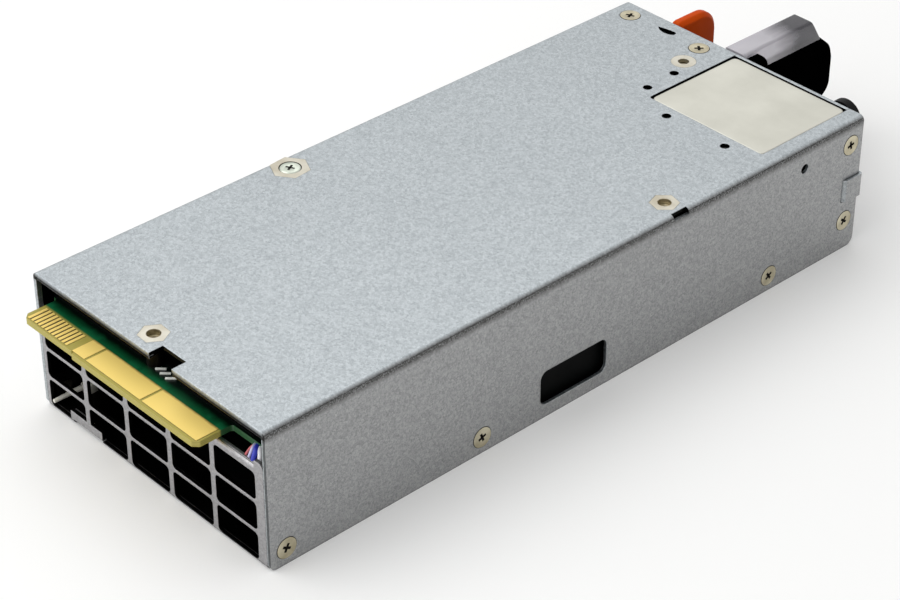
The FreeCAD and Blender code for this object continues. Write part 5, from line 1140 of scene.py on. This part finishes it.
@dataclass
class CardEdge:
    """Board tongue with its gold pads, and what shows beside it."""

    board_top: float = 31.0 * MM
    chip_places: Sequence[Placing] = (mm(-0.1, -95.5), mm(2.0, -95.8), mm(4.4, -96.1))
    chip: Placing = mm(2.6, 0.5, 0.4)
    chip_turn: float = math.radians(45.0)
    chip_rim: float = 0.08 * MM
    chip_crown: float = 0.06 * MM
    film_low: float = 31.15 * MM
    film_thickness: float = 0.3 * MM
    film_x: float = 40.6 * MM
    film_front: float = -95.9 * MM
    film_rear: float = 50.0 * MM
    # Middle and half sizes of the notches in the film's front edge, round the chips and the leads.
    film_notches: Sequence[Placing] = (mm(0.4, -96.0, 7.2, 2.4), mm(38.2, -96.0, 4.0, 3.6))
    # The standoffs that pass through the film.
    standoffs: Sequence[Placing] = (FRONT_STANDOFF, RIGHT_STANDOFF, SCREWED_STANDOFF)
    standoff_hole: float = 2.8 * MM
    cut_reach: float = 1.0 * MM
    rod_x: float = -39.7 * MM
    rod_z: float = 2.6 * MM
    rod_clip_y: float = -95.0 * MM
    rod_thinned: float = 0.67
    rod_shift: float = -1.3 * MM
    # Colour, its code, X in mm, radius in mm and sideways sway of each lead.
    jackets: Sequence[tuple[str, str, float, float, float]] = (
        ("white", "e9e8ee", 38.7, 0.6, 0.5), ("blue", "2a35b4", 37.0, 0.65, 0.0),
        ("lilac", "c9c6e4", 35.8, 0.38, -0.3), ("red", "c8656a", 35.2, 0.3, -0.9))
    # Bend, and Y and Z in mm, of the points along each lead, from the plug up to the board.
    route: Sequence[Placing] = ((0.0, -93.4, 26.2), (0.2, -95.2, 25.5), (1.0, -98.6, 25.7),
                                (1.2, -98.9, 27.4), (0.2, -98.0, 29.6), (-0.9, -96.9, 30.1),
                                (-1.2, -96.2, 29.9))

    def chips(self, ceramic: Material) -> None:
        """Model the small chip parts beside the pads.

        Args:
            ceramic: Their near white finish, the tinned ends' shine painted over the whole chip as a
                highlight.
        """
        for index, (x, y) in enumerate(self.chip_places, 1):
            middle = (x, y, self.board_top + self.chip[2] / 2)
            chip = new_mesh("cube", f"board_chip_{index}", middle, self.chip, size=1.0,
                            rotation=(0.0, 0.0, self.chip_turn))
            with editing(chip):
                pick_side(chip, UP)
                bpy.ops.mesh.inset(thickness=self.chip_rim)
                bpy.ops.transform.translate(value=UP * self.chip_crown)
            soften(chip, 0.05, 2, 30.0)
            finish_piece(chip, Body.CASE, "board_laminate", ceramic)

    def shade_film(self, black: Material) -> None:
        """Model the black film that lies over the board's solder side, a dark sheet that stands in for the
        shade under the roof.

        Args:
            black: Finish of the film.
        """
        middle = (0.0, (self.film_rear + self.film_front) / 2, self.film_low + self.film_thickness / 2)
        shade_film = new_mesh("cube", "board_shade_film", middle,
                        (2 * self.film_x, self.film_rear - self.film_front, self.film_thickness), size=1.0)
        cutters = [new_mesh("cube", "notch", (x, y, self.film_low), (wide, deep, self.cut_reach),
                            size=2.0) for x, y, wide, deep in self.film_notches]
        cutters += [new_mesh("cylinder", "hole", (x, y, self.film_low), vertices=40,
                             radius=self.standoff_hole, depth=2 * self.cut_reach) for x, y in self.standoffs]
        for cutter in cutters:
            cut_with(shade_film, cutter)
        soften(shade_film, 0.05, 1)
        finish_piece(shade_film, Body.CASE, "liner_black", black)

    def rod(self, pale: Material) -> None:
        """Model the rod low behind the grille, drawn down to its true thickness.

        Args:
            pale: Finish of the rod.
        """
        rod = copy_of_node("guide_rod", "slim_guide_rod")
        with editing(rod, "VERT"):
            pick_points(rod, lambda point: point.y < self.rod_clip_y)
            resize(self.rod_thinned, 1.0, self.rod_thinned, (self.rod_x, 0.0, self.rod_z))
            bpy.ops.transform.translate(value=BACK * self.rod_shift)
        soften(rod, 0.12, 2, 40.0)
        finish_piece(rod, Body.CASE, "rod_grey", pale, "guide_rod")

    def leads(self) -> None:
        """Model the four leads that loop from the board's front edge into the plug."""
        for colour, code, x, radius, sway in self.jackets:
            line = bpy.data.curves.new(f"front_lead_{colour}", "CURVE")
            line.dimensions = "3D"
            line.bevel_depth = radius * MM
            line.bevel_resolution = 3
            line.resolution_u = 8
            spline = line.splines.new("NURBS")
            spline.points.add(len(self.route) - 1)
            for point, (bend, y, z) in zip(spline.points, self.route):
                point.co = ((x + bend * sway + min(bend, 0.0)) * MM, y * MM, z * MM, 1.0)
            spline.order_u = 3
            spline.use_endpoint_u = True
            lead = bpy.data.objects.new(f"front_lead_{colour}", line)
            bpy.context.scene.collection.objects.link(lead)
            select_only(lead)
            bpy.ops.object.convert(target="MESH")
            lead = bpy.context.active_object
            bpy.ops.object.shade_smooth()
            jacket = MouldedPlastic(f"pvc_jacket_{colour}", code, code, 0.38, 0.4, 0.004, 0.05).make()
            finish_piece(lead, Body.CASE, "lead_insulation", jacket, "front_wires")

    def build(self) -> None:
        """Dress the board and model the small parts at its front."""
        MaskedLaminate("glass_epoxy_board").dress("main_board")
        GoldPlate().dress("signal_contacts", "power_contacts")
        # The chips are near white all over: a painted highlight of their tinned ends.
        self.chips(MouldedPlastic("chip_with_painted_highlight", "fbfdf6", "eef3ea", 0.35, 0.3, 0.01, 0.04).make())
        self.leads()
        MouldedPlastic("nylon_plug", "cfcbb8", "b7b39f").dress("front_plug", "fan_plug")
        self.rod(MouldedPlastic("abs_guide_rod", "e6e4da", "c9c7bc", 0.4, 0.5, 0.01, 0.1).make())
        # The black film over the board stands in for the shade under the roof; the liner shares its finish.
        black = MouldedPlastic("black_liner_and_shade_film", "060707", "0b0c0c", 0.55, 0.8, 0.006, 0.1, gloss=0.04)
        self.shade_film(black.dress("insulating_liner"))


# --- rear end


@dataclass
class RearEnd:
    """Mains inlet with its filter can, handle, light guide, latch and fan."""

    tin: PlatedMetal = PlatedMetal("tinplate", "d6d5cb", "cbcac0", 0.52, 14.0, 0.2, recess_mm=0.4)
    smoke: ClearPlastic = ClearPlastic("smoky_polycarbonate", "f0ecf4", "4c4a52", *mm(115.0, 125.0), 0.1, 0.5)
    orange: MouldedPlastic = MouldedPlastic("nylon_orange", "cc4a00", "bc3e00", 0.45, 0.3, 0.012, 0.2,
                                            gloss=0.08)
    guide_edge_mm: float = 0.9
    tab_edge_mm: float = 0.8

    def build(self) -> None:
        """Dress the rear end and model its softer mouldings: the light guide and the thumb tab."""
        self.tin.dress("inlet_filter_can")
        MouldedPlastic("polyester_inlet_black", "0b0b0c", "131314", 0.42, gloss=0.25).dress("ac_inlet")
        PlatedMetal("nickel_plated_brass", "d9d4c2", "b7b09a", 0.25).dress("inlet_blades")
        glass_filled = MouldedPlastic("glass_filled_black", "101011", "171718", 0.5, 0.4, 0.015, gloss=0.3)
        glass_filled.dress("fan_frame", "fan_rotor")
        steel = PlatedMetal("zinc_plated_steel", "c3c6c6", "a2a6a7", 0.34)
        steel.dress("fan_bracket", "latch_lever", "latch_pin", "latch_spring")
        screws = PlatedMetal("nickel_plated_screw", "dedac6", "b9b39c", 0.28)
        screws.dress("fan_screws", "handle_screws", "board_screws")
        leads = BandedFinish("pvc_fan_leads", "121212", "d2b21c", "b3201c", 2, *mm(26.2, 27.6))
        leads.dress("fan_leads")
        MouldedPlastic("acetal_black", "080809", "101011", gloss=0.12).dress("latch_mount", "strap_post")
        black = MouldedPlastic("nylon_handle_black", "010101", "040404", 0.75, 0.35, 0.012, 0.5, gloss=0.0)
        black.dress("handle")
        lens = ClearPlastic("green_epoxy_lens", "6fd487", "4fb56a", *mm(93.0, 97.0), 0.2, 0.4)
        lens.dress("status_light")
        bar = copy_of_node("handle_light_guide", "light_guide_bar")
        soften(bar, self.guide_edge_mm, 3, 40.0)
        finish_piece(bar, Body.CASE, "smoky_clear", self.smoke.make(), "handle_light_guide")
        tab = copy_of_node("latch_tab", "thumb_tab")
        soften(tab, self.tab_edge_mm, 3, 40.0)
        finish_piece(tab, Body.LATCH, "latch_orange", self.orange.make(), "latch_tab")


# --- power parts


@dataclass
class PowerStage:
    """Parts that hang under the board and show through the grille and the vents."""

    finishes: Sequence[tuple[Finish, Sequence[str]]] = (
        (BandedFinish("pet_sleeve", "17191c", "1d2023", "c9cccd", 1, *mm(12.0, 43.4)), ("bulk_capacitors",)),
        (StreakedFinish("enamelled_copper", "c4703a", "6f3316", 0.9, "Y", 1.0, 0.28, 0.12),
         ("pfc_choke", "line_choke", "output_inductor")),
        (MouldedPlastic("moulded_epoxy", "1a1a1b", "252526", 0.55, 0.2, 0.012, 0.1),
         ("bridge_rectifier", "power_transistors")),
        (BandedFinish("capped_fuse", "b9bcb8", "d8d5c8", "b9bcb8", 0, *mm(-28.0, -20.0)), ("fuse",)),
        (MouldedPlastic("sintered_ferrite", "2b2b2d", "3a3a3c", 0.6, 0.35, 0.02, 0.3), ("transformer_core",)),
        (StreakedFinish("polyester_tape", "c7a02c", "9a7a1e", 1.4, "Z", 0.0, 0.3, 0.03),
         ("transformer_winding", "resonant_choke")),
        (StreakedFinish("extruded_aluminium", "c6c8ca", "a5a8ab", 0.4, "Z", 1.0, 0.35, 0.01),
         ("primary_heat_sink", "rectifier_heat_sinks")),
        (MaskedLaminate("control_card", "0a3f24", "135232", "0a3f24"), ("control_board",)),
        (PlatedMetal("aluminium_can", "c4c7c8", "a9adae", 0.32), ("output_capacitors",)),
        (MouldedPlastic("polyamide_grey", "6c6b70", "606065", 0.5, 0.3, 0.012, 0.3), ("front_block",)))

    def build(self) -> None:
        """Dress the power parts."""
        for finish, nodes in self.finishes:
            finish.dress(*nodes)


# --- studio


@dataclass
class Studio:
    """Pale floor, a small lamp from the back left, a large one from the front left, and the camera."""

    camera_place: Vector = field(default_factory=lambda: Vector((398.1, -371.9, 379.5)) * MM)
    view_line: Vector = field(default_factory=lambda: Vector((-0.60723, 0.55813, -0.56547)))
    lens: float = 103.96
    sensor: float = 36.0
    clip: Placing = (0.02, 50.0)
    floor_size: float = 8.0
    floor_colour: str = "f4f4f3"
    floor_lift: float = 0.08
    tooth_mm: float = 2.0
    tooth_height_mm: float = 0.02
    horizon: float = 0.2
    zenith: float = 1.0
    # Name, direction from the case, distance and side of the face in metres, and watts of each lamp.
    lamps: Sequence[tuple[str, Placing, float, float, float]] = (
        ("key_softbox", (-0.55, 0.35, 1.0), 1.5, 1.2, 3.6),
        ("fill_softbox", (-0.5, -1.0, 0.85), 1.5, 2.2, 20.5))

    def hang_lamps(self) -> None:
        """Hang the square soft boxes, so that each looks at the case."""
        for name, direction, distance, size, power in self.lamps:
            place = Vector(direction).normalized() * distance
            turn = (-place).to_track_quat("-Z", "Y").to_euler()
            bpy.ops.object.light_add(type="AREA", location=place, rotation=turn)
            lamp = bpy.context.active_object
            lamp.name = name
            lamp.data.shape = "SQUARE"
            lamp.data.size = size
            lamp.data.energy = power

    def surroundings(self) -> None:
        """Light the case softly, more from above, and show white behind it and in its reflections."""
        world = bpy.data.worlds.new("studio_surroundings")
        bpy.context.scene.world = world
        world.use_nodes = True
        graph = Graph(world.node_tree)
        height = graph.add("SeparateXYZ", (graph.coordinates["Generated"],)).outputs[2]
        sky = graph.add("MapRange", (height, 0.0, 1.0, self.horizon, self.zenith))
        strength = graph.add("Mix", {0: graph.not_diffuse(), 2: sky, 3: 1.0})
        glow = graph.add("Background", {"Strength": strength})
        graph.add("OutputWorld", (glow,))

    def floor(self) -> None:
        """Lay the plain pale floor, lifted a little towards white where it is seen or mirrored."""
        bpy.ops.mesh.primitive_plane_add(size=self.floor_size, location=(0.0, 0.0, 0.0))
        floor = bpy.context.active_object
        floor.name = "studio_floor"
        material = bpy.data.materials.new("matt_paper_floor")
        material.use_nodes = True
        graph = Graph(material.node_tree)
        tooth = graph.add("TexNoise", graph.pattern(self.tooth_mm))
        bump = graph.add("Bump", {"Strength": 0.1, "Distance": self.tooth_height_mm * MM, "Height": tooth})
        paper = graph.add("BsdfDiffuse", {"Color": self.floor_colour, "Normal": bump})
        lift = graph.add("MapRange", (graph.not_diffuse(), 0.0, 1.0, 0.0, self.floor_lift))
        pale = graph.add("Emission", {"Strength": lift})
        graph.add("OutputMaterial", (graph.add("AddShader", (paper, pale)),))
        paint(floor, material)

    def camera(self) -> None:
        """Set the camera."""
        turn = self.view_line.to_track_quat("-Z", "Y").to_euler()
        bpy.ops.object.camera_add(location=self.camera_place, rotation=turn)
        camera = bpy.context.active_object
        camera.data.lens = self.lens
        camera.data.sensor_width = self.sensor
        camera.data.sensor_fit = "HORIZONTAL"
        camera.data.clip_start, camera.data.clip_end = self.clip
        bpy.context.scene.camera = camera

    def build(self) -> None:
        """Set up the light, the floor and the camera."""
        bpy.ops.object.select_all(action="DESELECT")
        bpy.context.scene.view_settings.view_transform = "Standard"
        self.surroundings()
        self.hang_lamps()
        self.floor()
        self.camera()


def main() -> None:
    """Dress the model, add its fine pieces and set up the studio."""
    logging.basicConfig(level=logging.INFO, format="%(name)s: %(message)s")
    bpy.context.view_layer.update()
    bpy.ops.object.select_all(action="DESELECT")
    for part in (Housing(), Fasteners(), CardEdge(), RearEnd(), PowerStage(), Studio()):
        part.build()


if __name__ == "__main__":
    main()
